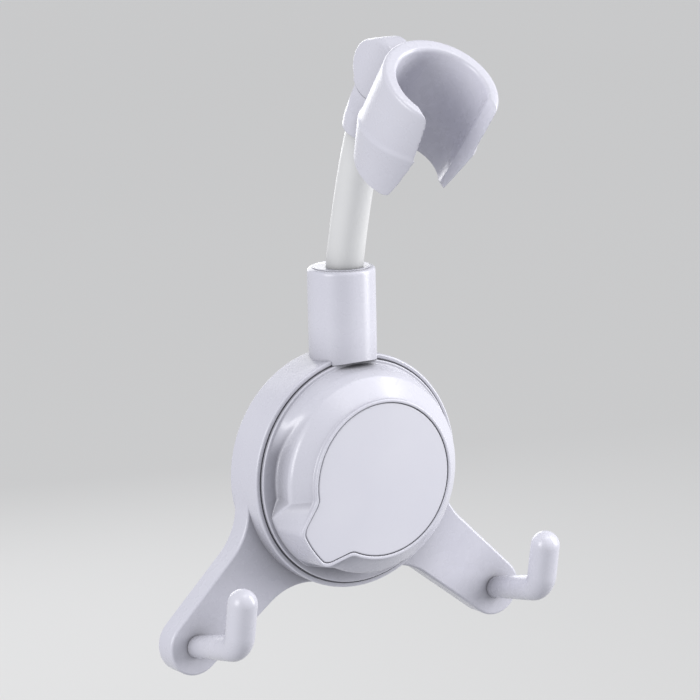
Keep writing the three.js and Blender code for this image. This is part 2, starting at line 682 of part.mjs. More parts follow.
// Front of the knob from its raised rim to its lip, at an angle from the tab's middle, as [radius, depth]
function knobFront(away) {
  const rimR = panelRadius(away, PANEL_RIM);
  const top = KNOB_TOP - KNOB_ROUND;
  const lip = [KNOB_R - KNOB_LIP, KNOB_LIP_TOP];
  const between = (a, b, share) => a.map((value, i) => THREE.MathUtils.lerp(value, b[i], share));
  const ridge = [PANEL_R + PANEL_RIM + RIDGE_OUT, KNOB_TOP - RIDGE_DROP];
  const foot = [ridge[0] + SCOOP_WALL, KNOB_LIP_TOP + SCOOP_FLOOR];
  const scooped = [ridge, foot, between(foot, lip, 0.5)];
  const plain = scooped.map(([r]) => {
    const past = (r - ridge[0]) / (lip[0] - ridge[0]);
    return [r, THREE.MathUtils.lerp(ridge[1], KNOB_LIP_TOP, past ** DOME_CURVE)];
  });
  const tucked = (tabSide(PANEL_RIM).shoulder - away) / (SCOOP_TUCK * DEG);
  const covered = THREE.MathUtils.clamp(tucked, 0, SCOOP_TUCKED);
  const dome = plain.map((point, i) => between(point, scooped[i], scoopAt(away)));
  return [
    [rimR - KNOB_ROUND, KNOB_TOP],
    [rimR, top],
    [rimR, top - KNOB_BEAD],
    ...dome.map((point) => between(point, lip, covered)),
    lip,
  ];
}

// Section of the knob's shell at an angle, as a loop round its wall
function knobSection(angle) {
  const turn = angle - TAB_ANGLE * DEG;
  const away = Math.abs(Math.atan2(Math.sin(turn), Math.cos(turn)));
  const innerR = PANEL_R + PANEL_RIM;
  const skirtR = KNOB_R - KNOB_SKIRT;
  const skirtBack = WEB_FRONT + GAP;
  const skirtTop = KNOB_LIP_TOP - KNOB_SKIRT;
  const loop = [
    [HUB_WELL_R, KNOB_CEILING],
    [HUB_WELL_R, KNOB_TOP],
    ...knobFront(away),
    [KNOB_R - KNOB_ROUND, KNOB_LIP_TOP],
    [KNOB_R, KNOB_LIP_TOP - KNOB_ROUND],
    [KNOB_R, skirtBack],
    [skirtR, skirtBack],
    [skirtR, skirtTop],
    [innerR + 2 * KNOB_SKIN, skirtTop],
    [innerR, KNOB_CEILING],
  ];
  return loop.map(([r, depth]) => polar(r, angle, depth));
}

// Angles of the knob's sections: close together round the tab, even elsewhere
function knobAngles() {
  const { shoulder, corner } = tabSide(PANEL_RIM);
  const half = [0, corner / 2, corner];
  for (let i = 1; i <= FLANK_STEPS; i += 1) {
    half.push(THREE.MathUtils.lerp(corner, shoulder, i / FLANK_STEPS));
  }
  for (let i = 1; i < DOME_SECTIONS; i += 1) {
    half.push(THREE.MathUtils.lerp(shoulder, Math.PI, i / DOME_SECTIONS));
  }
  const other = half.slice(1).reverse().map((away) => -away);
  return [...half, Math.PI, ...other].map((away) => TAB_ANGLE * DEG + away);
}

function knobBody() {
  const shell = loft(knobAngles().map(knobSection), true);
  const hub = turned(bar(HUB_R, WELL_FLOOR - HUB_FLOOR, KNOB_TOP), ROUND_MEDIUM);
  const well = turned(bar(HUB_WELL_R, WELL_FLOOR, 2 * KNOB_TOP), ROUND_MEDIUM);
  const hole = turned(bar(STUD_NECK_R + GAP, 0, KNOB_TOP), ROUND_SMALL);
  const pocket = frontPlate(panelShape(PANEL_GAP), PANEL_FLOOR, 2 * KNOB_TOP, PANEL_ARCS);
  const cam = camTeeth((share) => camFace(share) + GAP, () => KNOB_CEILING + SEAT, -CAM_SLACK * DEG);
  return cut(union(shell, hub, cam), pocket, well, hole);
}

function knobPanel() {
  return frontPlate(panelShape(0), PANEL_BACK, PANEL_FRONT, PANEL_ARCS);
}

// Centre line of the bendable arm, upright in the socket and leaning at the tip
const ARM_FOOT = new THREE.Vector3(0, -SOCKET_DEPTH, SOCKET_TOP - ARM_START);
const ARM_HEAD = new THREE.Vector3(0, -SOCKET_DEPTH - ARM_FORWARD, SOCKET_TOP + ARM_RISE);
const TIP_AXIS = new THREE.Vector3(0, -Math.sin(ARM_LEAN * DEG), Math.cos(ARM_LEAN * DEG));
const PLUG_TOP = SOCKET_TOP - ARM_START + 2 * GAP;
const SLEEVE_BOTTOM = PLUG_TOP - PLUG_CUP;
const FERRULE_SEAT = SLEEVE_BOTTOM - GAP - FERRULE;
const PLUG_BOTTOM = SOCKET_FLOOR_Z + GAP;
const SLEEVE_HOLD = COLLAR_START + COLLAR_HOLD;
const FERRULE_TIP = SLEEVE_HOLD + GAP + FERRULE;

function armPath(bottomZ, headRun) {
  const path = new THREE.CurvePath();
  const bottom = new THREE.Vector3(0, ARM_FOOT.y, bottomZ);
  const first = ARM_FOOT.clone().add(new THREE.Vector3(0, 0, ARM_START_PULL));
  const second = ARM_HEAD.clone().addScaledVector(TIP_AXIS, -ARM_END_PULL);
  const top = ARM_HEAD.clone().addScaledVector(TIP_AXIS, headRun);
  path.add(new THREE.LineCurve3(bottom, ARM_FOOT));
  path.add(new THREE.CubicBezierCurve3(ARM_FOOT, first, second, ARM_HEAD));
  path.add(new THREE.LineCurve3(ARM_HEAD, top));
  return path;
}

// A round bar or tube along the arm
function alongArm(radius, boreR, bottomZ, headRun, curveSegments) {
  const section = new THREE.Shape().absarc(0, 0, radius, 0, 2 * Math.PI, false);
  if (boreR > 0) {
    section.holes.push(new THREE.Path().absarc(0, 0, boreR, 0, 2 * Math.PI, true));
  }
  const extrudePath = armPath(bottomZ, headRun);
  return solid(new THREE.ExtrudeGeometry(section, { steps: SWEEP_STEPS, curveSegments, extrudePath }));
}

function armSleeve() {
  return alongArm(SLEEVE_R, SLEEVE_BORE_R, SLEEVE_BOTTOM, SLEEVE_HOLD, SLEEVE_SIDES);
}

function armCore() {
  return alongArm(CORE_R, 0, FERRULE_SEAT, FERRULE_TIP, CORE_SIDES);
}

// Plug that turns in the socket: a groove for the retaining screw, one for the O-ring, and a cup
const GROOVE_LOW = SOCKET_FLOOR_Z + SOCKET_SCREW_RISE - PLUG_GROOVE_WIDTH / 2;
const GROOVE_HIGH = GROOVE_LOW + PLUG_GROOVE_WIDTH;
const RING_Z = (GROOVE_HIGH + FERRULE_SEAT) / 2;
const RING_MID_R = SOCKET_BORE_R - SEAT - RING_R;
const RING_GROOVE_R = RING_MID_R - RING_R - SEAT;

function armPlug() {
  const low = RING_Z - RING_R - SEAT;
  const high = RING_Z + RING_R + SEAT;
  const body = turnedUp([
    [0, PLUG_BOTTOM],
    [PLUG_R, PLUG_BOTTOM],
    [PLUG_R, GROOVE_LOW],
    [PLUG_R - PLUG_GROOVE, GROOVE_LOW],
    [PLUG_R - PLUG_GROOVE, GROOVE_HIGH],
    [PLUG_R, GROOVE_HIGH],
    [PLUG_R, low],
    [RING_GROOVE_R, low],
    [RING_GROOVE_R, high],
    [PLUG_R, high],
    [PLUG_R, PLUG_TOP],
    [SLEEVE_FIT_R, PLUG_TOP],
    [SLEEVE_FIT_R, FERRULE_SEAT - SEAT],
    [0, FERRULE_SEAT - SEAT],
  ], ROUND_HOOK);
  return body.translate([0, -SOCKET_DEPTH, 0]);
}

function plugRing() {
  const profile = [];
  for (let i = 0; i <= RING_SIDES; i += 1) {
    const angle = (i % RING_SIDES) / RING_SIDES * 2 * Math.PI;
    profile.push([RING_MID_R + RING_R * Math.cos(angle), RING_Z + RING_R * Math.sin(angle)]);
  }
  return turnedUp(profile, ROUND_HOOK).translate([0, -SOCKET_DEPTH, 0]);
}

// Headless screw that keeps the plug in the socket
function socketScrew() {
  const tip = SOCKET_DEPTH - PLUG_R + PLUG_GROOVE - GAP;
  const screw = turned(bar(SOCKET_SCREW_R, SOCKET_CLEAR + SEAT, tip), ROUND_SMALL);
  return screw.translate([0, 0, SOCKET_FLOOR_Z + SOCKET_SCREW_RISE]);
}

// The tip's own frame: origin at the arm's upper end, z along the tip, -y to the front
function tipBody() {
  const rim = COLLAR_START;
  const hold = FERRULE_TIP + SEAT;
  const collar = turnedUp([
    [0, hold],
    [SLEEVE_FIT_R, hold],
    [SLEEVE_FIT_R, rim],
    [(SLEEVE_FIT_R + COLLAR_R) / 2, rim],
    [COLLAR_R - COLLAR_SWELL, rim + COLLAR_EDGE],
    [COLLAR_R, rim + COLLAR_WIDEST],
    [COLLAR_NECK_R, rim + COLLAR_NECK],
    [COLLAR_NECK_R, PIVOT_ALONG],
    [0, PIVOT_ALONG],
  ]);
  const shape = new THREE.Shape();
  shape.moveTo(TONGUE_R, hold);
  shape.lineTo(TONGUE_R, PIVOT_ALONG);
  shape.absarc(0, PIVOT_ALONG, TONGUE_R, 0, Math.PI, false);
  shape.lineTo(-TONGUE_R, hold);
  shape.closePath();
  const sweep = turnedAcross(bar(LUG_R + GAP, -LUG, LUG), ROUND_MEDIUM).translate([0, 0, PIVOT_ALONG]);
  const hole = turnedAcross(bar(PIVOT_BORE_R, -LUG, LUG)).translate([0, 0, PIVOT_ALONG]);
  return cut(union(cut(collar, sweep), sidePlate(shape, TONGUE)), hole);
}

// End sleeve crimped on the arm's core, in the tip's frame
function ferrule() {
  return turnedUp(ring(CORE_R + SCREW_FIT, FERRULE_R, 0, FERRULE), ROUND_SMALL);
}

// The cradle's own frame: origin on the pivot, z along the bore, -y to the front
const BORE_Y = -LUG_PIVOT_BACK;
const RIM_Z = LUG_PIVOT_DROP;
const FOOT_Z = RIM_Z - CRADLE_HEIGHT;
const WAIST_Z = RIM_Z - CRADLE_WAIST;

// Hose slot seen from the front: nearly straight sides that flare out at the rim
function slotShape() {
  const margin = CRADLE_HEIGHT / 4;
  const middle = (WAIST_Z + RIM_Z) / 2;
  const flare = RIM_Z - SLOT_ROUND;
  const shape = new THREE.Shape();
  shape.moveTo(-SLOT_FOOT, FOOT_Z - margin);
  shape.lineTo(SLOT_FOOT, FOOT_Z - margin);
  shape.lineTo(SLOT_FOOT, FOOT_Z);
  shape.lineTo(SLOT_WAIST, WAIST_Z);
  shape.quadraticCurveTo(SLOT_WAIST, middle, SLOT_RIM, flare);
  shape.quadraticCurveTo(SLOT_RIM + SLOT_ROUND / 4, RIM_Z, SLOT_RIM + SLOT_ROUND, RIM_Z);
  shape.lineTo(SLOT_RIM + SLOT_ROUND, RIM_Z + margin);
  shape.lineTo(-SLOT_RIM - SLOT_ROUND, RIM_Z + margin);
  shape.lineTo(-SLOT_RIM - SLOT_ROUND, RIM_Z);
  shape.quadraticCurveTo(-SLOT_RIM - SLOT_ROUND / 4, RIM_Z, -SLOT_RIM, flare);
  shape.quadraticCurveTo(-SLOT_WAIST, middle, -SLOT_WAIST, WAIST_Z);
  shape.lineTo(-SLOT_FOOT, FOOT_Z);
  shape.closePath();
  return shape;
}

// Room for the tongue in the lug: open below and behind, as far as the cradle tilts
function tongueRoom() {
  const half = TONGUE_R + GAP;
  const reach = LUG_R + 4 * GAP;
  const spread = Math.asin(half / reach);
  const first = -Math.PI / 2 - (CRADLE_LEAN - ARM_LEAN) * DEG;
  const last = first + TILT_UP * DEG;
  const shape = new THREE.Shape();
  shape.moveTo(...onCircle(half, first - Math.PI / 2));
  shape.lineTo(...onCircle(reach, first - spread));
  shape.absarc(0, 0, reach, first - spread, last + spread, false);
  shape.lineTo(...onCircle(half, last + Math.PI / 2));
  shape.closePath();
  const hub = turnedAcross(bar(half, -SLOT_SIDE, SLOT_SIDE), ROUND_MEDIUM);
  return hub.add(sidePlate(shape, 2 * SLOT_SIDE));
}

// Lug outline: a round end at the pivot and a round crest that runs into the wall
function lugShape() {
  const apart = Math.hypot(LUG_CREST_AHEAD, LUG_CREST_RISE);
  const towards = Math.atan2(LUG_CREST_RISE, -LUG_CREST_AHEAD);
  const spread = Math.acos((LUG_R - LUG_CREST_R) / apart);
  const shape = new THREE.Shape();
  shape.absarc(0, 0, LUG_R, towards + spread, towards - spread + 2 * Math.PI, false);
  shape.absarc(-LUG_CREST_AHEAD, LUG_CREST_RISE, LUG_CREST_R, towards - spread, towards + spread, false);
  shape.closePath();
  return shape;
}

function cradleBody() {
  const wall = turnedUp([
    [0, FOOT_Z],
    [CRADLE_FOOT_R, FOOT_Z],
    [CRADLE_R, WAIST_Z],
    [CRADLE_R - CRADLE_STEP, WAIST_Z + CRADLE_STEP],
    [CRADLE_R, RIM_Z - CRADLE_EDGE],
    [CRADLE_R - CRADLE_EDGE * EDGE_KNEE, RIM_Z - CRADLE_EDGE * EDGE_KNEE],
    [CRADLE_R - CRADLE_EDGE, RIM_Z],
    [0, RIM_Z],
  ], ROUND_LARGE).translate([0, BORE_Y + CRADLE_BACKSET, 0]);
  const slope = (BORE_RIM_R - BORE_FOOT_R) / CRADLE_HEIGHT;
  const bore = turnedUp([
    [0, FOOT_Z - OVERSHOOT],
    [BORE_FOOT_R - slope * OVERSHOOT, FOOT_Z - OVERSHOOT],
    [BORE_RIM_R - slope * BORE_EDGE, RIM_Z - BORE_EDGE],
    [BORE_RIM_R + BORE_EDGE, RIM_Z],
    [BORE_RIM_R + BORE_EDGE, RIM_Z + OVERSHOOT],
    [0, RIM_Z + OVERSHOOT],
  ], ROUND_LARGE).translate([0, BORE_Y, 0]);
  const lug = sidePlate(lugShape(), LUG, { bevel: LUG_EDGE });
  const slot = frontPlate(slotShape(), -BORE_Y, -BORE_Y + 2 * CRADLE_R);
  const blind = turnedAcross(bar(PIVOT_BORE_R, -LUG / 2 + TILT_SKIN, LUG));
  return cut(union(wall, lug), bore, slot, tongueRoom(), collarRoom(), blind);
}

// Room for the collar behind the cradle's wall
function collarRoom() {
  const collar = turnedUp(bar(COLLAR_R + GAP, -2 * PIVOT_ALONG, -LUG_R));
  return collar.rotate([ARM_LEAN - CRADLE_LEAN, 0, 0]);
}

function frictionWasher(sign) {
  const inner = sign * (TONGUE / 2 + SEAT);
  return turnedAcross(ring(PIVOT_BORE_R, FRICTION_R, inner, inner + sign * FRICTION));
}

function tiltScrew() {
  const seat = LUG / 2 + SEAT;
  return turnedAcross([
    [0, -LUG / 2 + TILT_SKIN + SEAT],
    [TILT_SCREW_R, -LUG / 2 + TILT_SKIN + SEAT],
    [TILT_SCREW_R, seat],
    [TILT_HEAD_R, seat],
    [TILT_HEAD_R, seat + TILT_HEAD / 2],
    [TILT_HEAD_R * HEAD_TOP, seat + TILT_HEAD],
    [0, seat + TILT_HEAD],
  ]);
}

// Assembly
const holder = new THREE.Group();

piece(holder, 'base_body', baseBody(), 'abs');
for (const { name, sign } of SIDES) {
  piece(holder, `${name}_hook`, hook(sign), 'abs');
  piece(holder, `${name}_hook_screw`, hookScrew(sign), 'steel');
}
piece(holder, 'suction_cup', suctionCup(), 'soft');
piece(holder, 'pull_stud', pullStud(), 'nylon');
piece(holder, 'stud_washer', studWasher(), 'steel');
piece(holder, 'stud_screw', studScrew(), 'steel');
piece(holder, 'knob_body', knobBody(), 'abs');
piece(holder, 'knob_panel', knobPanel(), 'abs');
piece(holder, 'arm_plug', armPlug(), 'nylon');
piece(holder, 'plug_o_ring', plugRing(), 'rubber');
piece(holder, 'socket_screw', socketScrew(), 'steel');
piece(holder, 'arm_sleeve', armSleeve(), 'sleeve');
piece(holder, 'arm_core', armCore(), 'aluminium');
piece(holder, 'lower_ferrule', ferrule().translate([0, -SOCKET_DEPTH, FERRULE_SEAT]), 'brass');

const tip = new THREE.Group();
tip.position.copy(ARM_HEAD);
tip.rotation.x = ARM_LEAN * DEG;
piece(tip, 'arm_tip', tipBody(), 'abs');
piece(tip, 'upper_ferrule', ferrule().translate([0, 0, FERRULE_TIP - FERRULE]), 'brass');
holder.add(tip);

const cradle = new THREE.Group();
cradle.position.copy(ARM_HEAD).addScaledVector(TIP_AXIS, PIVOT_ALONG);
cradle.rotation.x = CRADLE_LEAN * DEG;
piece(cradle, 'cradle', cradleBody(), 'abs');
for (const { name, sign } of SIDES) {
  piece(cradle, `${name}_friction_washer`, frictionWasher(sign), 'nylon');
}
piece(cradle, 'tilt_screw', tiltScrew(), 'steel');
holder.add(cradle);

export default holder;
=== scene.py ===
# Shower head holder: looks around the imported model, in the model's frame.
# The wall is the plane y = 0, the front faces -Y and +Z is up.
# Sizes are in millimetres, as in the part's source, and pieces are scaled to metres when they are made.
# A size that ends in EDGE says how far a rounding reaches along both sides of its corner.
import math

import bmesh
import bpy
from mathutils import Matrix, Vector


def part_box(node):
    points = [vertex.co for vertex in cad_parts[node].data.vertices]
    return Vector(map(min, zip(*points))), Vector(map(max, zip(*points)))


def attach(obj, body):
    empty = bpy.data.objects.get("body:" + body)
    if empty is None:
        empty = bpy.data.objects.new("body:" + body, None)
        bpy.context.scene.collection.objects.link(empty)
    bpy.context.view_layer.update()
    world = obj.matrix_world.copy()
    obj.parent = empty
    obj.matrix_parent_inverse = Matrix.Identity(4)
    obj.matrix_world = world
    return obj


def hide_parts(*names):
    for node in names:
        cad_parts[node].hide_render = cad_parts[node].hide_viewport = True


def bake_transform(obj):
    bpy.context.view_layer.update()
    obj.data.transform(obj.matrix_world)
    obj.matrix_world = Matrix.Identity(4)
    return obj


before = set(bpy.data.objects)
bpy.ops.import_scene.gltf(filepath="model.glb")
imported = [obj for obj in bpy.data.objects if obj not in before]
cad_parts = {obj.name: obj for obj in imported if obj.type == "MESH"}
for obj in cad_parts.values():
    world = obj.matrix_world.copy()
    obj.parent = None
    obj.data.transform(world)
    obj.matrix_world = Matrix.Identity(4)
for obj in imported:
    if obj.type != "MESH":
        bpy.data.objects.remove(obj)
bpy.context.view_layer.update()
scene = bpy.context.scene
MM = 0.001

# Camera of the photograph, in metres and degrees, with its lens and sensor in millimetres
CAMERA_PLACE = (-0.63394, -0.98466, 0.27881)
CAMERA_AZIMUTH = -33.193
CAMERA_ELEVATION = 11.738
CAMERA_ROLL = -1.241
CAMERA_LENS = 194.916
CAMERA_SENSOR = 36
CAMERA_REACH = 50

# Surroundings, in metres and degrees
FLOOR_Z = -0.32
FLOOR_SIZE = 12
FLOOR_GLOW = 0.45  # keeps the floor pale without a lamp of its own
FLOOR_ROUGHNESS = 0.8
SKY_STRENGTH = 0.44
LIGHTS_AT = Vector((0, -0.03, 0.03))
LIGHTS = {
    "key": dict(azimuth=61, elevation=18, distance=0.6, size=(0.25, 0.62), strength=3.6),
    "fill": dict(azimuth=-77, elevation=16, distance=1.2, size=(0.6, 0.7), strength=1.95),
    "top": dict(azimuth=25, elevation=68, distance=0.8, size=(0.5, 0.3), strength=0.7),
    "back": dict(azimuth=165, elevation=14, distance=1.2, size=(0.8, 0.8), strength=1.0),
}

# Colours, each from its darker to its lighter shade
ABS_SHADES = ((0.645, 0.64, 0.715), (0.67, 0.665, 0.735))
PANEL_SHADES = ((0.675, 0.67, 0.74), (0.70, 0.695, 0.76))
SLEEVE_SHADES = ((0.70, 0.70, 0.705), (0.735, 0.735, 0.735))
NYLON_SHADES = ((0.70, 0.69, 0.64), (0.76, 0.75, 0.70))
RUBBER_SHADES = ((0.018, 0.018, 0.019), (0.03, 0.03, 0.031))
CUP_SHADES = ((0.60, 0.63, 0.66), (0.68, 0.70, 0.73))
STEEL_SHADES = ((0.50, 0.51, 0.52), (0.62, 0.63, 0.64))
ALUMINIUM_SHADES = ((0.58, 0.59, 0.60), (0.68, 0.69, 0.70))
BRASS_SHADES = ((0.50, 0.36, 0.13), (0.62, 0.46, 0.19))
FLOOR_SHADES = ((0.25, 0.25, 0.25), (0.27, 0.27, 0.27))
FLOOR_GLOW_COLOUR = (1, 1, 1, 1)
SKY_COLOUR = (0.93, 0.95, 1.0, 1)

# Surfaces, with lengths in metres
SHADE_STOPS = (0.3, 0.7)  # stretch of the noise in which the shade changes
SHADE_DETAIL = 2.0
ROUGH_DETAIL = 4.0
GRAIN_DETAIL = 3.0
# Painted shade: the colour is darkened where other surfaces stand close by
PAINTED_SHADE_REACH = 0.013  # how close a surface stands whose shade is painted into another's colour
PAINTED_SHADE_SAMPLES = 8

# Base
WALL_GAP = 3.2
BASE_R = 37.4
BASE_FRONT = 18.2
BASE_SIDE = 2.4  # wall round the cup's room
BASE_EDGE = 0.9
BASE_FOOT_EDGE = 0.5
BASE_FOOT_INNER_EDGE = 0.4
POCKET_R = 35.92
POCKET_EDGE = 0.3
POCKET_FLOOR_EDGE = 0.4
WEB_FRONT = 14.2  # the web parts the cup's room from the knob's pocket
WEB_BACK = 12.2
WEB_BACK_EDGE = 1.0
KEYWAY_R = 6.0
LEDGE = 0.35  # the pocket narrows to the knob this deep
LEDGE_GAP = 0.1
LEDGE_EDGE = 0.1
LEDGE_ROOT_EDGE = 0.2
CAM_TEETH = 3
CAM_INNER_R = 12
CAM_OUTER_R = 16
CAM_FOOT = 1.0
CAM_RISE = 4.8
CAM_SLACK = math.radians(1.5)  # between the two halves of the cam
GAP = 0.3  # between the halves of the cam, and the depth of their teeth's roots

# Hook arms
ARM_REACH = 74.7
ARM_DROP = math.radians(40.6)
ARM_BACK = 4.6
ARM_FRONT = 12.2
ARM_END_R = 9.33
ARM_TAPER = math.radians(3.4)
ARM_FILLET = 21
ARM_EDGE = 0.9
ARM_BACK_EDGE = 0.3
ARM_SKIN = 2.2  # wall of the hollow arm
RIB = 1.8

# Hooks
HOOK_X = ARM_REACH * math.cos(ARM_DROP)
HOOK_Z = -ARM_REACH * math.sin(ARM_DROP)
HOOK_R = 4.65
HOOK_STEM = 25.6
HOOK_CLIMB = math.radians(11.75)
HOOK_UPRIGHT = 19.5
HOOK_LEAN = math.radians(10.5)
HOOK_BEND = 6.5  # radius of the elbow
HOOK_STEM_ROOT_R = 3.5
HOOK_STEM_END_R = 4.2
HOOK_SPIGOT_R = 2.7
HOOK_SPIGOT = 4.6
HOOK_BOSS_R = 5.6
HOOK_HOLE_R = 1.4
HOOK_SCREW_TIP = 13.8  # end of the screw's hole
HOOK_SEAT_R = 2.7
HOOK_SEAT = 6.1

# Socket, and the cap that closes its mouth
SOCKET_R = 10.7
SOCKET_DEPTH = 11.6
SOCKET_TOP = 64.2
SOCKET_FLOOR = 38.0
SOCKET_BORE_R = 8.0
SOCKET_EDGE = 1.4
SOCKET_MOUTH_EDGE = 0.12
SOCKET_HOLE_R = 1.45
SOCKET_HOLE_Z = 40.6
SADDLE_R = 36.12  # the socket stands on the base's rim
SADDLE_FRONT_R = 35.64  # and clears the knob, which comes forward as it turns
CAP_R = 7.8
CAP_BRIM_R = 9.2
CAP_TOP = SOCKET_TOP + 0.32
CAP_DEPTH = 2.4
CAP_EDGE = 0.25
CAP_SEAT = SOCKET_TOP + 0.03
CAP_GRIP = 0.05  # how far the cap closes on the sleeve

# Suction cup
CUP_R = 34.2
CUP_BACK_EDGE = 0.3
CUP_LIP = 1.4
CUP_LIP_EDGE = 0.6
CUP_RING_R = 27.7
CUP_RING_EDGE = 3.0
CUP_DISH = 1.2
CUP_DISH_EDGE = 4.0
CUP_MEMBRANE = 3.4
CUP_BOSS_R = 10
CUP_BOSS_EDGE = 0.5
CUP_SHOULDER = 5.1
CUP_SHOULDER_EDGE = 1.0
CUP_BOSS_FRONT = 7.2
CUP_HOLE_R = 5.96
CUP_HOLE_EDGE = 0.3
CUP_SEAT_R = 7.8
CUP_SEAT_FRONT = 5.7

# Knob
KNOB_R = 35.5
KNOB_TOP = 33.6
KNOB_LIP_R = 34.3
KNOB_LIP_TOP = 19.2
KNOB_LIP_EDGE = 0.3
KNOB_EDGE = 0.5
KNOB_BEAD = 0.9  # drop of the raised rim's outside
KNOB_BEAD_EDGE = 0.35
KNOB_SKIRT_R = 33.5
KNOB_SKIRT_BACK = 14.5
KNOB_SKIRT_TOP = 17.2
KNOB_SKIRT_EDGE = 0.3
KNOB_CEILING = 29.6
KNOB_INNER_R = 25.4
KNOB_INNER_EDGE = 0.6
KNOB_SLOPE_R = 29.8
PANEL_R = 24.1
PANEL_GAP = 0.2
PANEL_RIM = 1.3
PANEL_RIM_EDGE = 0.45
PANEL_FRONT = 33.3
PANEL_BACK = 31.9
PANEL_FLOOR = 31.8
PANEL_FIT = 0.02
PANEL_EDGE = 0.7
PANEL_SOFTNESS = math.radians(2.8)  # half the angle over which its corners are evened out
TAB_ANGLE = math.radians(214.9)
TAB_END_R = 32.2
TAB_ROOT = 20.8
TAB_END = 13.4
SCOOP_SPAN = math.radians(62)
SCOOP_FADE = 0.35  # share of its span in which a scoop keeps its depth
SCOOP_WALL = -1.2
SCOOP_FLOOR = -0.2
SCOOP_FLOOR_EDGE = 3.0
SCOOP_MIDDLE = 0.5
SCOOP_MIDDLE_EDGE = 0.8
SCOOP_TUCK = math.radians(9.2)  # a scoop runs on under the tab's flank
SCOOP_TUCKED = 0.97  # how far the flank covers it there
RIDGE_R = PANEL_R + PANEL_RIM + 5.8
RIDGE_TOP = KNOB_TOP - 6.4
RIDGE_EDGE = 1.4
DOME_CURVE = 1.5  # power of the dome's fall from its ridge to its lip
DOME_SHARES = (0, 0.13, 0.56)  # places of its points on the way
HUB_R = 8.5
HUB_BACK = 25.2
HUB_WELL_R = 6.9
HUB_WELL_FLOOR = 27.2
HUB_HOLE_R = 3.9

# Bendable arm and its tip
ARM_FOOT = Vector((0, -SOCKET_DEPTH, SOCKET_TOP - 14.2))
ARM_HEAD = Vector((0, -SOCKET_DEPTH - 14.3, SOCKET_TOP + 42.4))
ARM_LEAN = math.radians(24.5)
TIP_AXIS = Vector((0, -math.sin(ARM_LEAN), math.cos(ARM_LEAN)))
TIP_FRAME = Matrix.Translation(ARM_HEAD) @ Matrix.Rotation(ARM_LEAN, 4, "X")
ARM_START_PULL = 13  # handles of the arm's curve
ARM_END_PULL = 12
SLEEVE_R = 5.9
SLEEVE_BORE_R = 2.8
SLEEVE_FIT_R = 6.2
CORE_R = 2.5
CORE_BORE_R = CORE_R / 4
COLLAR_START = 2.3
COLLAR_MOUTH_EDGE = 0.3
COLLAR_R = 7.6
COLLAR_START_R = COLLAR_R - 0.25
COLLAR_START_EDGE = 1.3
COLLAR_WIDEST = 6.2
COLLAR_HOLD = 10.0  # end of the sleeve's hole
COLLAR_NECK_R = 6.5
COLLAR_NECK = 16.9
COLLAR_NECK_EDGE = 1.5
CHEEK_OUT = (8.0, 9.0)  # points of the sloping cheek, across and along the tip
CHEEK_IN = (4.7, 13.6)
CHEEK_IN_EDGE = 2.0
CHEEK_TOP = (4.35, 16.0)
CHEEK_TOP_EDGE = 1.0
TONGUE = 3.2
TONGUE_R = 5.2
PIVOT_ALONG = 24.2
PIVOT_BORE_R = 2.0

# Cradle, in its own frame: origin on the pivot, z along the bore, -y to the front
PIVOT = ARM_HEAD + TIP_AXIS * PIVOT_ALONG
CRADLE_LEAN = math.radians(39.4)
CRADLE_FRAME = Matrix.Translation(PIVOT) @ Matrix.Rotation(CRADLE_LEAN, 4, "X")
CRADLE_R = 18.4
CRADLE_EDGE = 1.5
CRADLE_FOOT_R = 14.5
CRADLE_FOOT_EDGE = 0.8
CRADLE_BACKSET = 0.8  # the outside stands behind the bore's axis
CRADLE_STEP = 0.45
CRADLE_STEP_EDGE = 0.6
CRADLE_RAMP = 1.1
BORE_RIM_R = 14.5
BORE_FOOT_R = 12.3
BORE_EDGE = 0.7
BORE_RUN_OUT = 1.0
BORE_Y = -26.5
RIM_Z = 19.95
WAIST_Z = -0.9
WAIST_BAND = 2.0  # heights near the waist that its tilt moves
WAIST_TILT = math.tan(math.radians(13))
FOOT_Z = -17.6
SLOT_FOOT = 9.9
SLOT_BLUNT = 1.4  # the slot's lower corners are cut off
SLOT_BLUNT_EDGE = 1.2
SLOT_WAIST = 10.3
SLOT_WAIST_EDGE = 6.0
SLOT_RIM = 12.0
SLOT_FLARE = 2.4
SLOT_FLARE_EDGE = 3.0
SLOT_RIM_EDGE = 1.2
LUG = 9.0
LUG_R = 9.3
LUG_CREST_R = 8.8
LUG_CREST = (-2.5, 3.7)
LUG_EDGE = 1.3
LUG_GAP = -0.12  # below zero, as the lug sits in the collar's saddle
LUG_FOOT = math.radians(44)  # half the angle of the foot on the collar
LUG_FOOT_EDGE = 0.2
TOWARDS_ARM = -math.pi / 2 - (CRADLE_LEAN - ARM_LEAN)
TILT_UP = math.radians(50)
TILT_SKIN = 0.8  # wall over the end of the screw's hole
TONGUE_ROOM = 2.2
TONGUE_ROOM_R = 5.5
TONGUE_ROOM_REACH = LUG_R + 4 * GAP
COLLAR_ROOM_R = 7.9

# Fineness, with angles in degrees
ROUND_FINE = 192
ROUND_MEDIUM = 96
ROUND_SMALL = 48
CORNER_STEPS = 6
CORNER_SHARE = 0.49  # most of a side that one rounding takes
ARC_STEPS = 24
HOOK_STEPS = 12
ARM_STEPS = 48
KNOB_SECTIONS = 480
PANEL_SAMPLES = 12
VOXEL = 0.26  # grid of a skin that is drawn over joined solids
EASE = 0.5
HOOK_EASE_ROUNDS = 4
CRADLE_EASE_ROUNDS = 7
SHARP_FROM = 35
TUBE_SHARP_FROM = 50
CRADLE_SHARP_FROM = 60
FAR = 100
TINY = 1e-6


# Materials

def principled(name):
    material = bpy.data.materials.new(name)
    material.use_nodes = True
    return material, material.node_tree, material.node_tree.nodes["Principled BSDF"]


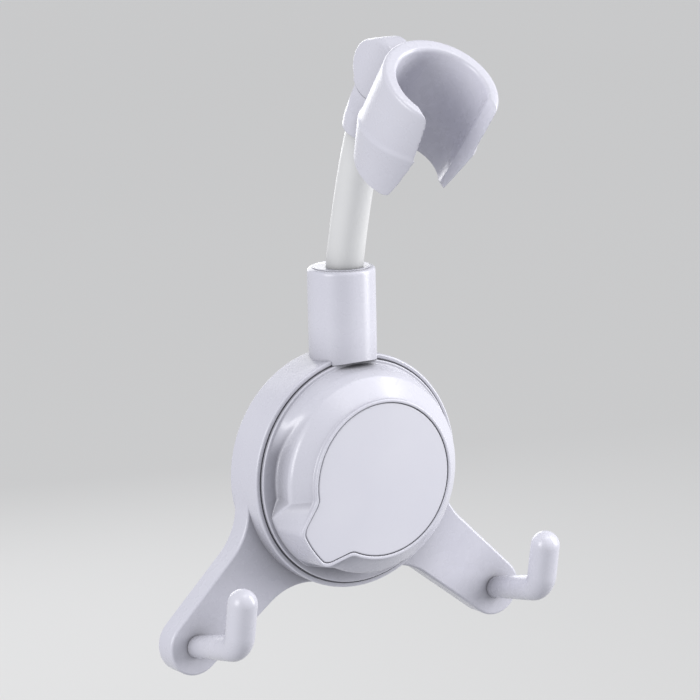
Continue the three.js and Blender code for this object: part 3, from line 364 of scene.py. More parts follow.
def noise(tree, scale, detail):
    place = tree.nodes.new("ShaderNodeTexCoord")
    texture = tree.nodes.new("ShaderNodeTexNoise")
    texture.inputs["Scale"].default_value = scale
    texture.inputs["Detail"].default_value = detail
    tree.links.new(place.outputs["Object"], texture.inputs["Vector"])
    return texture.outputs["Fac"]


# Lets the colour drift between two shades
def shaded(tree, shader, shades, scale):
    ramp = tree.nodes.new("ShaderNodeValToRGB")
    for stop, position, shade in zip(ramp.color_ramp.elements, SHADE_STOPS, shades):
        stop.position = position
        stop.color = (*shade, 1)
    tree.links.new(noise(tree, scale, SHADE_DETAIL), ramp.inputs["Fac"])
    tree.links.new(ramp.outputs["Color"], shader.inputs["Base Color"])


def roughened(tree, shader, roughness, scale):
    spread = tree.nodes.new("ShaderNodeMapRange")
    spread.inputs["To Min"].default_value, spread.inputs["To Max"].default_value = roughness
    tree.links.new(noise(tree, scale, ROUGH_DETAIL), spread.inputs["Value"])
    tree.links.new(spread.outputs["Result"], shader.inputs["Roughness"])


def grained(tree, shader, scale, strength, depth):
    bump = tree.nodes.new("ShaderNodeBump")
    bump.inputs["Strength"].default_value = strength
    bump.inputs["Distance"].default_value = depth
    tree.links.new(noise(tree, scale, GRAIN_DETAIL), bump.inputs["Height"])
    tree.links.new(bump.outputs["Normal"], shader.inputs["Normal"])


# Paints shade into the colour where other surfaces stand close by, darkening recesses, creases and gaps
# between parts
def painted_recess_shade(tree, shader):
    colour = shader.inputs["Base Color"].links[0].from_socket
    painted_shade = tree.nodes.new("ShaderNodeAmbientOcclusion")
    painted_shade.samples = PAINTED_SHADE_SAMPLES
    painted_shade.inputs["Distance"].default_value = PAINTED_SHADE_REACH
    tree.links.new(colour, painted_shade.inputs["Color"])
    tree.links.new(painted_shade.outputs["Color"], shader.inputs["Base Color"])


def plastic(name, shades, roughness):
    material, tree, shader = principled(name)
    shaded(tree, shader, shades, scale=45)
    # painted shade in recesses, creases and gaps between parts
    painted_recess_shade(tree, shader)
    roughened(tree, shader, roughness, scale=220)
    grained(tree, shader, scale=1400, strength=0.02, depth=0.0002)
    return material


def metal(name, shades, roughness, scale):
    material, tree, shader = principled(name)
    shaded(tree, shader, shades, scale)
    roughened(tree, shader, roughness, 3 * scale)
    grained(tree, shader, scale=900, strength=0.08, depth=0.0002)
    shader.inputs["Metallic"].default_value = 1.0
    return material


def soft_clear(name, shades, roughness):
    material, tree, shader = principled(name)
    shaded(tree, shader, shades, scale=70)
    roughened(tree, shader, roughness, scale=160)
    grained(tree, shader, scale=700, strength=0.06, depth=0.0003)
    shader.inputs["Transmission Weight"].default_value = 0.35
    shader.inputs["IOR"].default_value = 1.45
    return material


MATERIALS = {
    "abs": plastic("moulded_abs", ABS_SHADES, roughness=(0.23, 0.32)),
    "panel": plastic("panel_abs", PANEL_SHADES, roughness=(0.36, 0.45)),
    "sleeve": plastic("sleeve_plastic", SLEEVE_SHADES, roughness=(0.29, 0.38)),
    "nylon": plastic("nylon", NYLON_SHADES, roughness=(0.46, 0.55)),
    "rubber": plastic("ring_rubber", RUBBER_SHADES, roughness=(0.56, 0.65)),
    "soft": soft_clear("cup_soft", CUP_SHADES, roughness=(0.18, 0.3)),
    "steel": metal("screw_steel", STEEL_SHADES, roughness=(0.23, 0.4), scale=200),
    "aluminium": metal("core_aluminium", ALUMINIUM_SHADES, roughness=(0.33, 0.5), scale=160),
    "brass": metal("ferrule_brass", BRASS_SHADES, roughness=(0.28, 0.45), scale=160),
}


# Outlines

def lerp(a, b, share):
    return a + (b - a) * share


def between(a, b, share):
    return tuple(lerp(u, v, share) for u, v in zip(a, b))


def smoothstep(value, low, high):
    share = min(max((value - low) / (high - low), 0), 1)
    return share * share * (3 - 2 * share)


# Angles of a full turn in equal steps
def around(count):
    return [2 * math.pi * k / count for k in range(count)]


# A loop of corners, each with an optional third value: how far its rounding reaches along both sides
def rounded(corners):
    points = []
    for i, corner in enumerate(corners):
        here = Vector(corner[:2])
        if len(corner) == 2:
            points.append(here)
            continue
        before = Vector(corners[i - 1][:2]) - here
        after = Vector(corners[(i + 1) % len(corners)][:2]) - here
        start = here + before.normalized() * min(corner[2], before.length * CORNER_SHARE)
        end = here + after.normalized() * min(corner[2], after.length * CORNER_SHARE)
        for k in range(CORNER_STEPS + 1):
            t = k / CORNER_STEPS
            points.append(start * (1 - t) ** 2 + here * 2 * t * (1 - t) + end * t * t)
    return points


def arc(x, y, radius, start, end):
    angles = [lerp(start, end, i / ARC_STEPS) for i in range(ARC_STEPS + 1)]
    return [Vector((x + radius * math.cos(a), y + radius * math.sin(a))) for a in angles]


# A right half with its mirror image on the left
def mirrored(half):
    return half + [Vector((-x, z)) for x, z in reversed(half)]


# A point at a radius and an angle about the depth axis
def polar(radius, angle, depth):
    return Vector((radius * math.cos(angle), -depth, radius * math.sin(angle)))


# Profile of a solid cylinder
def bar(radius, start, end):
    return [(0, start), (radius, start), (radius, end), (0, end)]


# The same radius at all the points of a line
def even(points, radius):
    return [(point, radius) for point in points]


# Rings across a line of points with a radius each, which lies in a plane across x
def rings(line):
    across = Vector((1, 0, 0))
    loops = []
    for i, (point, radius) in enumerate(line):
        behind = line[max(i - 1, 0)][0]
        ahead = line[min(i + 1, len(line) - 1)][0]
        up = (ahead - behind).normalized().cross(across)
        turns = around(ROUND_SMALL)
        loops.append([point + (across * math.cos(a) + up * math.sin(a)) * radius for a in turns])
    return loops


# Solids

# Skin over loops with equal counts of points: the last joins the first again, or both ends are closed
def loft(loops, endless=False):
    bm = bmesh.new()
    columns = [[bm.verts.new(point) for point in loop] for loop in loops]
    count = len(columns[0])
    pairs = list(zip(columns, columns[1:]))
    if endless:
        pairs.append((columns[-1], columns[0]))
    else:
        bm.faces.new(columns[0])
        bm.faces.new(columns[-1])
    for a, b in pairs:
        for k in range(count):
            n = (k + 1) % count
            bm.faces.new((a[k], a[n], b[n], b[k]))
    bmesh.ops.recalc_face_normals(bm, faces=bm.faces)
    return bm


# A profile of (radius, height) points turned about the z axis
def revolve(profile, segments=ROUND_FINE):
    bm = bmesh.new()
    columns = []
    for radius, height in profile:
        if radius < TINY:
            columns.append([bm.verts.new((0, 0, height))] * segments)
            continue
        circle = [(radius * math.cos(a), radius * math.sin(a), height) for a in around(segments)]
        columns.append([bm.verts.new(point) for point in circle])
    pairs = list(zip(columns, columns[1:]))
    if profile[0][0] > TINY:
        pairs.append((columns[-1], columns[0]))
    for a, b in pairs:
        for k in range(segments):
            n = (k + 1) % segments
            corners = list(dict.fromkeys((a[k], a[n], b[n], b[k])))
            if len(corners) > 2:
                bm.faces.new(corners)
    bmesh.ops.recalc_face_normals(bm, faces=bm.faces)
    return bm


def moved(bm, matrix):
    bmesh.ops.transform(bm, matrix=matrix, verts=bm.verts)
    return bm


def shifted(bm, x, y, z):
    return moved(bm, Matrix.Translation((x, y, z)))


# A profile turned about the depth axis, with heights as depths in front of the wall
def turned(profile, segments=ROUND_FINE):
    return moved(revolve(profile, segments), Matrix.Rotation(math.pi / 2, 4, "X"))


# A profile turned about the x axis
def turned_across(profile, segments=ROUND_SMALL):
    return moved(revolve(profile, segments), Matrix.Rotation(math.pi / 2, 4, "Y"))


# An outline of (x, z) points between two depths
def front_plate(outline, back, front):
    return loft([[(x, -depth, z) for x, z in outline] for depth in (back, front)])


# An outline of (y, z) points on both sides of the plane x = 0
def side_plate(outline, half):
    return loft([[(x, y, z) for y, z in outline] for x in (-half, half)])


# The same with its two long edges rounded, from an outline that can be moved in
def rounded_plate(outline_at, half, edge):
    quarter = [k / CORNER_STEPS * math.pi / 2 for k in range(CORNER_STEPS + 1)]
    loops = []
    for side, turns in ((-1, quarter), (1, quarter[::-1])):
        for turn in turns:
            x = side * (half - edge * (1 - math.cos(turn)))
            outline = outline_at(edge * (1 - math.sin(turn)))
            loops.append([(x, y, z) for y, z in outline])
    return loft(loops)


def block(low, high):
    outline = [(low[0], low[2]), (high[0], low[2]), (high[0], high[2]), (low[0], high[2])]
    return front_plate(outline, -high[1], -low[1])


def limb(line):
    return loft(rings(line))


# A tube along a line of points, closed at both ends between its bore and its outside
def tube(points, radius, bore):
    return loft(rings(even(points, radius)) + rings(even(points, bore))[::-1], endless=True)


def mesh_of(name, bm):
    mesh = bpy.data.meshes.new(name)
    bm.to_mesh(mesh)
    bm.free()
    return mesh


def placed(name, data):
    piece = bpy.data.objects.new(name, data)
    scene.collection.objects.link(piece)
    return piece


def scratch(bm):
    return placed("scratch", mesh_of("scratch", bm))


# The mesh of a piece with its modifiers applied
def applied(piece):
    bpy.context.view_layer.update()
    return bpy.data.meshes.new_from_object(piece.evaluated_get(bpy.context.evaluated_depsgraph_get()))


# Solids side by side in one mesh
def joined(*solids):
    whole = bmesh.new()
    for bm in solids:
        mesh = mesh_of("part", bm)
        whole.from_mesh(mesh)
        bpy.data.meshes.remove(mesh)
    return whole


# The solid that a scratch piece's modifiers give, with the scratch pieces removed
def taken(piece, *tools):
    mesh = applied(piece)
    bm = bmesh.new()
    bm.from_mesh(mesh)
    bpy.data.meshes.remove(mesh)
    for used in (piece, *tools):
        data = used.data
        bpy.data.objects.remove(used)
        bpy.data.meshes.remove(data)
    return bm


def boolean(operation, bm, others):
    piece = scratch(bm)
    tools = [scratch(other) for other in others]
    for tool in tools:
        step = piece.modifiers.new("step", "BOOLEAN")
        step.operation = operation
        step.solver = "EXACT"
        step.object = tool
    return taken(piece, *tools)


def cut(bm, *others):
    return boolean("DIFFERENCE", bm, others)


def common(bm, *others):
    return boolean("INTERSECT", bm, others)


def union(bm, *others):
    return boolean("UNION", bm, others)


# One skin over overlapping solids, with its edges softened
def softened(bm, rounds):
    piece = scratch(bm)
    skin = piece.modifiers.new("skin", "REMESH")
    skin.mode = "VOXEL"
    skin.voxel_size = VOXEL
    ease = piece.modifiers.new("ease", "SMOOTH")
    ease.factor = EASE
    ease.iterations = rounds
    return taken(piece)


# Pieces

def new_piece(name, bm, material, sharp_from=SHARP_FROM):
    bmesh.ops.scale(bm, vec=(MM, MM, MM), verts=bm.verts)
    mesh = mesh_of(name, bm)
    piece = placed(name, mesh)
    mesh.materials.append(MATERIALS[material])
    for polygon in mesh.polygons:
        polygon.use_smooth = True
    mesh.set_sharp_from_angle(angle=math.radians(sharp_from))
    weigh = piece.modifiers.new("normals", "WEIGHTED_NORMAL")
    weigh.mode = "FACE_AREA_WITH_ANGLE"
    weigh.keep_sharp = True
    final = applied(piece)
    piece.modifiers.clear()
    piece.data = final
    bpy.data.meshes.remove(mesh)
    return piece


def riding(node, body, bm, material, sharp_from=SHARP_FROM):
    piece = new_piece(node + "_looks", bm, material, sharp_from)
    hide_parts(node)
    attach(piece, body)


# Base: disc, hook arms, socket and cam teeth

def base_disc():
    return turned(rounded([
        (KEYWAY_R, WEB_BACK),
        (BASE_R - BASE_SIDE, WEB_BACK, WEB_BACK_EDGE),
        (BASE_R - BASE_SIDE, WALL_GAP, BASE_FOOT_INNER_EDGE),
        (BASE_R, WALL_GAP, BASE_FOOT_EDGE),
        (BASE_R, BASE_FRONT, BASE_EDGE),
        (POCKET_R, BASE_FRONT, POCKET_EDGE),
        (POCKET_R, BASE_FRONT - LEDGE, LEDGE_ROOT_EDGE),
        (KNOB_R + LEDGE_GAP, BASE_FRONT - LEDGE, LEDGE_EDGE),
        (KNOB_R + LEDGE_GAP, WEB_FRONT, POCKET_FLOOR_EDGE),
        (KEYWAY_R, WEB_FRONT),
    ]))


# Outline of one hook arm with all its sides moved in, closed by an arc inside the disc
def arm_outline(inset, inner_r, direction):
    end_r = ARM_END_R - inset
    fillet_r = ARM_FILLET + inset
    disc_r = BASE_R - inset
    normal = Vector((math.sin(ARM_TAPER), math.cos(ARM_TAPER)))
    inward = Vector((-math.cos(ARM_TAPER), math.sin(ARM_TAPER)))
    start = Vector((ARM_REACH, 0)) + normal * (end_r + fillet_r)
    reach = disc_r + fillet_r
    along = start.dot(inward)
    run = -along - math.sqrt(along * along - start.length_squared + reach * reach)
    fillet = start + inward * run
    side = math.pi / 2 - ARM_TAPER
    flank = math.pi / 2 + ARM_TAPER
    to_disc = math.atan2(-fillet.y, -fillet.x)
    points = arc(fillet.x, -fillet.y, fillet_r, -to_disc, flank)
    points += arc(ARM_REACH, 0, end_r, -side, side)
    points += arc(fillet.x, fillet.y, fillet_r, -flank, to_disc)
    last = math.atan2(points[-1].y, points[-1].x)
    points += arc(0, 0, inner_r, last, -last)
    swing = Matrix.Rotation(direction, 2)
    return [swing @ (p if p.length > inner_r else p.normalized() * inner_r) for p in points]


# Hollow arm, from the edge of its hollow round its back and front edges, with the hook's boss and a rib
def hook_arm(sign, direction):
    inner_r = BASE_R - BASE_SIDE / 2
    ceiling = ARM_FRONT - ARM_SKIN
    section = [
        (ARM_SKIN, ceiling),
        (ARM_SKIN, ARM_BACK),
        (ARM_BACK_EDGE, ARM_BACK),
        (0, ARM_BACK + ARM_BACK_EDGE),
        (0, ARM_FRONT - ARM_EDGE),
    ]
    for k in range(1, CORNER_STEPS + 1):
        turn = k / CORNER_STEPS * math.pi / 2
        section.append((ARM_EDGE * (1 - math.cos(turn)), ARM_FRONT - ARM_EDGE * (1 - math.sin(turn))))
    loops = []
    for inset, depth in section:
        outline = arm_outline(inset, BASE_R if inset == ARM_SKIN else inner_r, direction)
        loops.append([(x, -depth, z) for x, z in outline])
    boss = turned([
        (HOOK_SEAT_R, ARM_BACK),
        (HOOK_BOSS_R, ARM_BACK),
        (HOOK_BOSS_R, ceiling),
        (HOOK_HOLE_R, ceiling),
        (HOOK_HOLE_R, HOOK_SEAT),
        (HOOK_SEAT_R, HOOK_SEAT),
    ], ROUND_SMALL)
    rib_outline = [(BASE_R, -RIB / 2), (ARM_REACH - HOOK_BOSS_R, -RIB / 2)]
    rib_outline += [(x, -z) for x, z in reversed(rib_outline)]
    swing = Matrix.Rotation(direction, 2)
    rib = front_plate([swing @ Vector(point) for point in rib_outline], ARM_BACK + RIB, ceiling)
    return joined(loft(loops), shifted(boss, sign * HOOK_X, 0, HOOK_Z), rib)


def socket():
    body = shifted(revolve(rounded([
        (0, 0),
        (SOCKET_R, 0),
        (SOCKET_R, SOCKET_TOP, SOCKET_EDGE),
        (SOCKET_BORE_R, SOCKET_TOP, SOCKET_MOUTH_EDGE),
        (SOCKET_BORE_R, SOCKET_FLOOR),
        (0, SOCKET_FLOOR),
    ]), ROUND_MEDIUM), 0, -SOCKET_DEPTH, 0)
    saddle = turned([
        (0, -FAR),
        (BASE_R, -FAR),
        (BASE_R, WALL_GAP),
        (SADDLE_R, WALL_GAP),
        (SADDLE_R, BASE_FRONT),
        (SADDLE_FRONT_R, BASE_FRONT),
        (SADDLE_FRONT_R, FAR),
        (0, FAR),
    ])
    hole = shifted(turned(bar(SOCKET_HOLE_R, -FAR, SOCKET_DEPTH), ROUND_SMALL), 0, 0, SOCKET_HOLE_Z)
    return cut(body, saddle, hole)


# Rising teeth of one half of the cam, between depths given as functions of the share of a tooth
def cam_teeth(back_at, front_at, turn):
    teeth = []
    span = 2 * math.pi / CAM_TEETH
    for tooth in range(CAM_TEETH):
        loops = []
        for i in range(ARC_STEPS + 1):
            share = i / ARC_STEPS
            angle = turn + (tooth + share) * span
            loops.append([
                polar(CAM_INNER_R, angle, back_at(share)),
                polar(CAM_OUTER_R, angle, back_at(share)),
                polar(CAM_OUTER_R, angle, front_at(share)),
                polar(CAM_INNER_R, angle, front_at(share)),
            ])
        teeth.append(loft(loops))
    return joined(*teeth)


def cam_face(share):
    return WEB_FRONT + CAM_FOOT + CAM_RISE * (1 - share)


def base_body():
    arms = [hook_arm(-1, math.pi + ARM_DROP), hook_arm(1, -ARM_DROP)]
    teeth = cam_teeth(lambda share: WEB_FRONT - GAP, cam_face, 0)
    return joined(base_disc(), *arms, socket(), teeth)


# Hooks

# Middle line of a hook with its radius at each point: up the stem, round the elbow and over the tip
def hook_line():
    stem = Vector((0, -math.cos(HOOK_CLIMB), math.sin(HOOK_CLIMB)))
    upright = Vector((0, -math.sin(HOOK_LEAN), math.cos(HOOK_LEAN)))
    root = Vector((0, -ARM_FRONT, 0))
    elbow = root + stem * HOOK_STEM
    turn = stem.angle(upright)
    start = elbow - stem * HOOK_BEND * math.tan(turn / 2)
    inside = (upright - stem * upright.dot(stem)).normalized()
    centre = start + inside * HOOK_BEND
    line = [(root - stem * HOOK_STEM_ROOT_R, HOOK_STEM_ROOT_R), (root, HOOK_STEM_ROOT_R)]
    for k in range(HOOK_STEPS + 1):
        angle = turn * k / HOOK_STEPS
        point = centre + (stem * math.sin(angle) - inside * math.cos(angle)) * HOOK_BEND
        line.append((point, lerp(HOOK_STEM_END_R, HOOK_R, k / HOOK_STEPS)))
    tip = elbow + upright * (HOOK_UPRIGHT - HOOK_R)
    for k in range(HOOK_STEPS):
        angle = math.pi / 2 * k / HOOK_STEPS
        line.append((tip + upright * HOOK_R * math.sin(angle), HOOK_R * math.cos(angle)))
    return line


def hook(sign):
    behind_arm = block((-FAR, -ARM_FRONT, -FAR), (FAR, FAR, FAR))
    skin = softened(cut(limb(hook_line()), behind_arm), HOOK_EASE_ROUNDS)
    spigot = turned([
        (HOOK_HOLE_R, ARM_FRONT - HOOK_SPIGOT),
        (HOOK_SPIGOT_R, ARM_FRONT - HOOK_SPIGOT),
        (HOOK_SPIGOT_R, ARM_FRONT + HOOK_R),
        (0, ARM_FRONT + HOOK_R),
        (0, HOOK_SCREW_TIP),
        (HOOK_HOLE_R, HOOK_SCREW_TIP),
    ], ROUND_SMALL)
    return shifted(joined(skin, spigot), sign * HOOK_X, 0, HOOK_Z)


# Suction cup

def suction_cup():
    return turned(rounded([
        (0, CUP_DISH),
        (CUP_BOSS_R, CUP_DISH, CUP_DISH_EDGE),
        (CUP_RING_R, 0, CUP_RING_EDGE),
        (CUP_R, 0, CUP_BACK_EDGE),
        (CUP_R, CUP_LIP, CUP_LIP_EDGE),
        (CUP_RING_R, CUP_LIP + CUP_DISH, CUP_RING_EDGE),
        (CUP_BOSS_R, CUP_SHOULDER, CUP_SHOULDER_EDGE),
        (CUP_BOSS_R, CUP_BOSS_FRONT, CUP_BOSS_EDGE),
        (CUP_HOLE_R, CUP_BOSS_FRONT, CUP_HOLE_EDGE),
        (CUP_HOLE_R, CUP_SEAT_FRONT),
        (CUP_SEAT_R, CUP_SEAT_FRONT),
        (CUP_SEAT_R, CUP_MEMBRANE),
        (0, CUP_MEMBRANE),
    ]))


# Knob

# One side of the tab, grown outwards: a point, a direction, and the angles where it meets the circles
def tab_side(grow):
    root = Vector((math.sqrt(PANEL_R ** 2 - TAB_ROOT ** 2 / 4), TAB_ROOT / 2))
    end = Vector((math.sqrt(TAB_END_R ** 2 - TAB_END ** 2 / 4), TAB_END / 2))
    along = (end - root).normalized()
    point = root + Vector((-along.y, along.x)) * grow

    def leaves(radius):
        run = point.dot(along)
        out = point + along * (math.sqrt(run * run - point.length_squared + radius * radius) - run)
        return math.atan2(out.y, out.x)

    return point, along, leaves(PANEL_R + grow), leaves(TAB_END_R + grow)


TAB_SIDES = {grow: tab_side(grow) for grow in (PANEL_GAP, PANEL_RIM)}
SHOULDER = TAB_SIDES[PANEL_RIM][2]


# Angle from the tab's middle, on either side of it
def from_tab(angle):
    turn = angle - TAB_ANGLE
    return abs(math.atan2(math.sin(turn), math.cos(turn)))


# Radius of the panel's outline at an angle from the tab's middle, with sharp corners
def sharp_radius(away, grow):
    point, along, shoulder, corner = TAB_SIDES[grow]
    if away >= shoulder:
        return PANEL_R + grow
    if away <= corner:
        return TAB_END_R + grow
    ray = Vector((math.cos(away), math.sin(away)))
    run = (ray.y * point.x - ray.x * point.y) / (ray.x * along.y - ray.y * along.x)
    return ray.dot(point + along * run)


# The same with its corners softened
def panel_radius(away, grow):
    spread = [lerp(-PANEL_SOFTNESS, PANEL_SOFTNESS, i / PANEL_SAMPLES) for i in range(PANEL_SAMPLES + 1)]
    return sum(sharp_radius(abs(away + step), grow) for step in spread) / len(spread)


# Front of the knob from its raised rim to its lip, at an angle from the tab's middle
def knob_front(away):
    rim_r = panel_radius(away, PANEL_RIM)
    lip = (KNOB_LIP_R, KNOB_LIP_TOP)
    floor_start = (RIDGE_R + SCOOP_WALL, KNOB_LIP_TOP + SCOOP_FLOOR)
    scooped = [(RIDGE_R, RIDGE_TOP), floor_start, between(floor_start, lip, SCOOP_MIDDLE)]
    strength = 1 - smoothstep((away - SHOULDER) / SCOOP_SPAN, SCOOP_FADE, 1)
    covered = min(max((SHOULDER - away) / SCOOP_TUCK, 0), SCOOP_TUCKED)
    dome = []
    for hollow, past in zip(scooped, DOME_SHARES):
        plain = (lerp(RIDGE_R, KNOB_LIP_R, past), lerp(RIDGE_TOP, KNOB_LIP_TOP, past ** DOME_CURVE))
        dome.append(between(between(plain, hollow, strength), lip, covered))
    ridge, foot, middle = dome
    return [
        (rim_r, KNOB_TOP, KNOB_EDGE),
        (rim_r, KNOB_TOP - KNOB_EDGE - KNOB_BEAD, KNOB_BEAD_EDGE),
        (*ridge, RIDGE_EDGE),
        (*foot, SCOOP_FLOOR_EDGE),
        (*middle, SCOOP_MIDDLE_EDGE),
        (*lip, KNOB_LIP_EDGE),
    ]


# Section of the knob's shell at an angle, from the hub's hole over the front to the hub's back
def knob_section(angle):
    away = from_tab(angle)
    well_r = panel_radius(away, PANEL_GAP)
    loop = rounded([
        (HUB_HOLE_R, HUB_BACK),
        (HUB_HOLE_R, HUB_WELL_FLOOR),
        (HUB_WELL_R, HUB_WELL_FLOOR),
        (HUB_WELL_R, PANEL_FLOOR),
        (well_r, PANEL_FLOOR),
        (well_r, KNOB_TOP, PANEL_RIM_EDGE),
        *knob_front(away),
        (KNOB_R, KNOB_LIP_TOP, KNOB_EDGE),
        (KNOB_R, KNOB_SKIRT_BACK, KNOB_SKIRT_EDGE),
        (KNOB_SKIRT_R, KNOB_SKIRT_BACK, KNOB_SKIRT_EDGE),
        (KNOB_SKIRT_R, KNOB_SKIRT_TOP, KNOB_INNER_EDGE),
        (KNOB_SLOPE_R, KNOB_SKIRT_TOP, KNOB_INNER_EDGE),
        (KNOB_INNER_R, KNOB_CEILING, KNOB_INNER_EDGE),
        (HUB_R, KNOB_CEILING),
        (HUB_R, HUB_BACK),
    ])
    return [polar(r, angle, depth) for r, depth in loop]


def knob_body():
    shell = loft([knob_section(angle) for angle in around(KNOB_SECTIONS)], endless=True)
    teeth = cam_teeth(lambda share: cam_face(share) + GAP, lambda share: KNOB_CEILING + GAP, -CAM_SLACK)
    return joined(shell, teeth)


def knob_panel():
    edge = rounded([
        (FAR, PANEL_BACK),
        (0, PANEL_BACK),
        (0, PANEL_FRONT, PANEL_EDGE),
        (FAR, PANEL_FRONT),
    ])
    outline = [(angle, panel_radius(from_tab(angle), PANEL_GAP)) for angle in around(KNOB_SECTIONS)]
    loops = []
    for inset, depth in edge[1:-1]:
        loops.append([polar(r - PANEL_FIT - inset, angle, depth) for angle, r in outline])
    return loft(loops)


# Bendable arm

# Middle line of the arm: straight up from a height, over its curve and on along the tip's axis
def arm_line(bottom, run):
    first = ARM_FOOT + Vector((0, 0, ARM_START_PULL))
    second = ARM_HEAD - TIP_AXIS * ARM_END_PULL
    points = [Vector((0, ARM_FOOT.y, bottom))]
    for i in range(ARM_STEPS + 1):
        t = i / ARM_STEPS
        s = 1 - t
        points.append(
            ARM_FOOT * s ** 3 + first * 3 * s * s * t
            + second * 3 * s * t * t + ARM_HEAD * t ** 3
        )
    points.append(ARM_HEAD + TIP_AXIS * run)
    return points


def bendable(node, material, radius, bore):
    low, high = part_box(node)
    run = (high.z / MM - ARM_HEAD.z) / TIP_AXIS.z - radius * math.tan(ARM_LEAN)
    skin = tube(arm_line(low.z / MM, run), radius, bore)
    piece = new_piece(node + "_looks", skin, material, TUBE_SHARP_FROM)
    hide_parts(node)
    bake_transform(piece)


# Cap round the arm's foot that closes the socket's mouth and turns with the arm
def socket_cap():
    disc = shifted(revolve(rounded([
        (0, CAP_TOP - CAP_DEPTH),
        (CAP_R, CAP_TOP - CAP_DEPTH),
        (CAP_R, CAP_SEAT),
        (CAP_BRIM_R, CAP_SEAT),
        (CAP_BRIM_R, CAP_TOP, CAP_EDGE),
        (0, CAP_TOP),
    ]), ROUND_MEDIUM), 0, -SOCKET_DEPTH, 0)
    sleeve = limb(even(arm_line(SOCKET_FLOOR, COLLAR_START), SLEEVE_R - CAP_GRIP))
    return cut(disc, sleeve)


# Arm's tip: a collar whose cheeks slope in to the lug, and the tongue of the tilt joint
def arm_tip():
    collar = revolve(rounded([
        (0, COLLAR_HOLD),
        (SLEEVE_FIT_R, COLLAR_HOLD),
        (SLEEVE_FIT_R, COLLAR_START, COLLAR_MOUTH_EDGE),
        (COLLAR_START_R, COLLAR_START, COLLAR_START_EDGE),
        (COLLAR_R, COLLAR_WIDEST, COLLAR_NECK_EDGE),
        (COLLAR_NECK_R, COLLAR_NECK, COLLAR_NECK_EDGE),
        (COLLAR_NECK_R, PIVOT_ALONG),
        (0, PIVOT_ALONG),
    ]), ROUND_MEDIUM)
    cheek = rounded([
        (CHEEK_OUT[0], -FAR),
        CHEEK_OUT,
        (*CHEEK_IN, CHEEK_IN_EDGE),
        (*CHEEK_TOP, CHEEK_TOP_EDGE),
        (CHEEK_TOP[0], FAR),
    ])
    collar = common(collar, front_plate(mirrored(cheek), -FAR, FAR))
    lug_sweep = shifted(turned_across(bar(LUG_R + LUG_GAP, -FAR, FAR), ROUND_FINE), 0, 0, PIVOT_ALONG)
    tongue_end = arc(0, PIVOT_ALONG, TONGUE_R, 0, math.pi)
    tongue = side_plate([(TONGUE_R, COLLAR_HOLD), *tongue_end, (-TONGUE_R, COLLAR_HOLD)], TONGUE / 2)
    hole = shifted(turned_across(bar(PIVOT_BORE_R, -FAR, FAR)), 0, 0, PIVOT_ALONG)
    return moved(joined(cut(collar, lug_sweep), cut(tongue, hole)), TIP_FRAME)


# Cradle

def slot_outline():
    return mirrored(rounded([
        (SLOT_FOOT + SLOT_BLUNT, FOOT_Z - FAR),
        (SLOT_FOOT + SLOT_BLUNT, FOOT_Z),
        (SLOT_FOOT, FOOT_Z + SLOT_BLUNT, SLOT_BLUNT_EDGE),
        (SLOT_WAIST, WAIST_Z, SLOT_WAIST_EDGE),
        (SLOT_RIM, RIM_Z - SLOT_FLARE, SLOT_FLARE_EDGE),
        (SLOT_RIM + SLOT_FLARE / 3, RIM_Z, SLOT_RIM_EDGE),
        (SLOT_RIM + SLOT_FLARE, RIM_Z),
        (SLOT_RIM + SLOT_FLARE, RIM_Z + FAR),
    ]))


# Outline of the lug, moved in: a round end at the pivot and a round crest that runs into the wall
def lug_outline(inset):
    towards = math.atan2(LUG_CREST[1], LUG_CREST[0])
    spread = math.acos((LUG_R - LUG_CREST_R) / math.hypot(*LUG_CREST))
    end = arc(0, 0, LUG_R - inset, towards + spread, towards - spread + 2 * math.pi)
    return end + arc(*LUG_CREST, LUG_CREST_R - inset, towards - spread, towards + spread)


# Outline of the lug's foot on the collar, where its edge is left nearly square
def lug_foot(inset):
    return arc(0, 0, LUG_R - inset, TOWARDS_ARM - LUG_FOOT, TOWARDS_ARM + LUG_FOOT)


# Room for the tongue in the lug, as far as the cradle tilts
def tongue_room():
    spread = math.asin(TONGUE_ROOM_R / TONGUE_ROOM_REACH)
    last = TOWARDS_ARM + TILT_UP
    sweep = arc(0, 0, TONGUE_ROOM_REACH, TOWARDS_ARM - spread, last + spread)
    back = arc(0, 0, TONGUE_ROOM_R, last + math.pi / 2, TOWARDS_ARM - math.pi / 2 + 2 * math.pi)
    return side_plate(sweep + back, TONGUE_ROOM)


# Room for the collar under the lug
def collar_room():
    room = revolve(bar(COLLAR_ROOM_R, -2 * PIVOT_ALONG, -LUG_R), ROUND_MEDIUM)
    return moved(room, Matrix.Rotation(ARM_LEAN - CRADLE_LEAN, 4, "X"))


# The wall's outside, whose step at the waist rises towards the front
def cradle_wall():
    wall = revolve(rounded([
        (0, FOOT_Z),
        (CRADLE_FOOT_R, FOOT_Z, CRADLE_FOOT_EDGE),
        (CRADLE_R, WAIST_Z, CRADLE_STEP_EDGE),
        (CRADLE_R - CRADLE_STEP, WAIST_Z + CRADLE_RAMP, CRADLE_STEP_EDGE),
        (CRADLE_R, RIM_Z, CRADLE_EDGE),
        (0, RIM_Z),
    ]))
    for vert in wall.verts:
        if abs(vert.co.z - WAIST_Z) < WAIST_BAND:
            vert.co.z -= WAIST_TILT * vert.co.y
    return shifted(wall, 0, BORE_Y + CRADLE_BACKSET, 0)


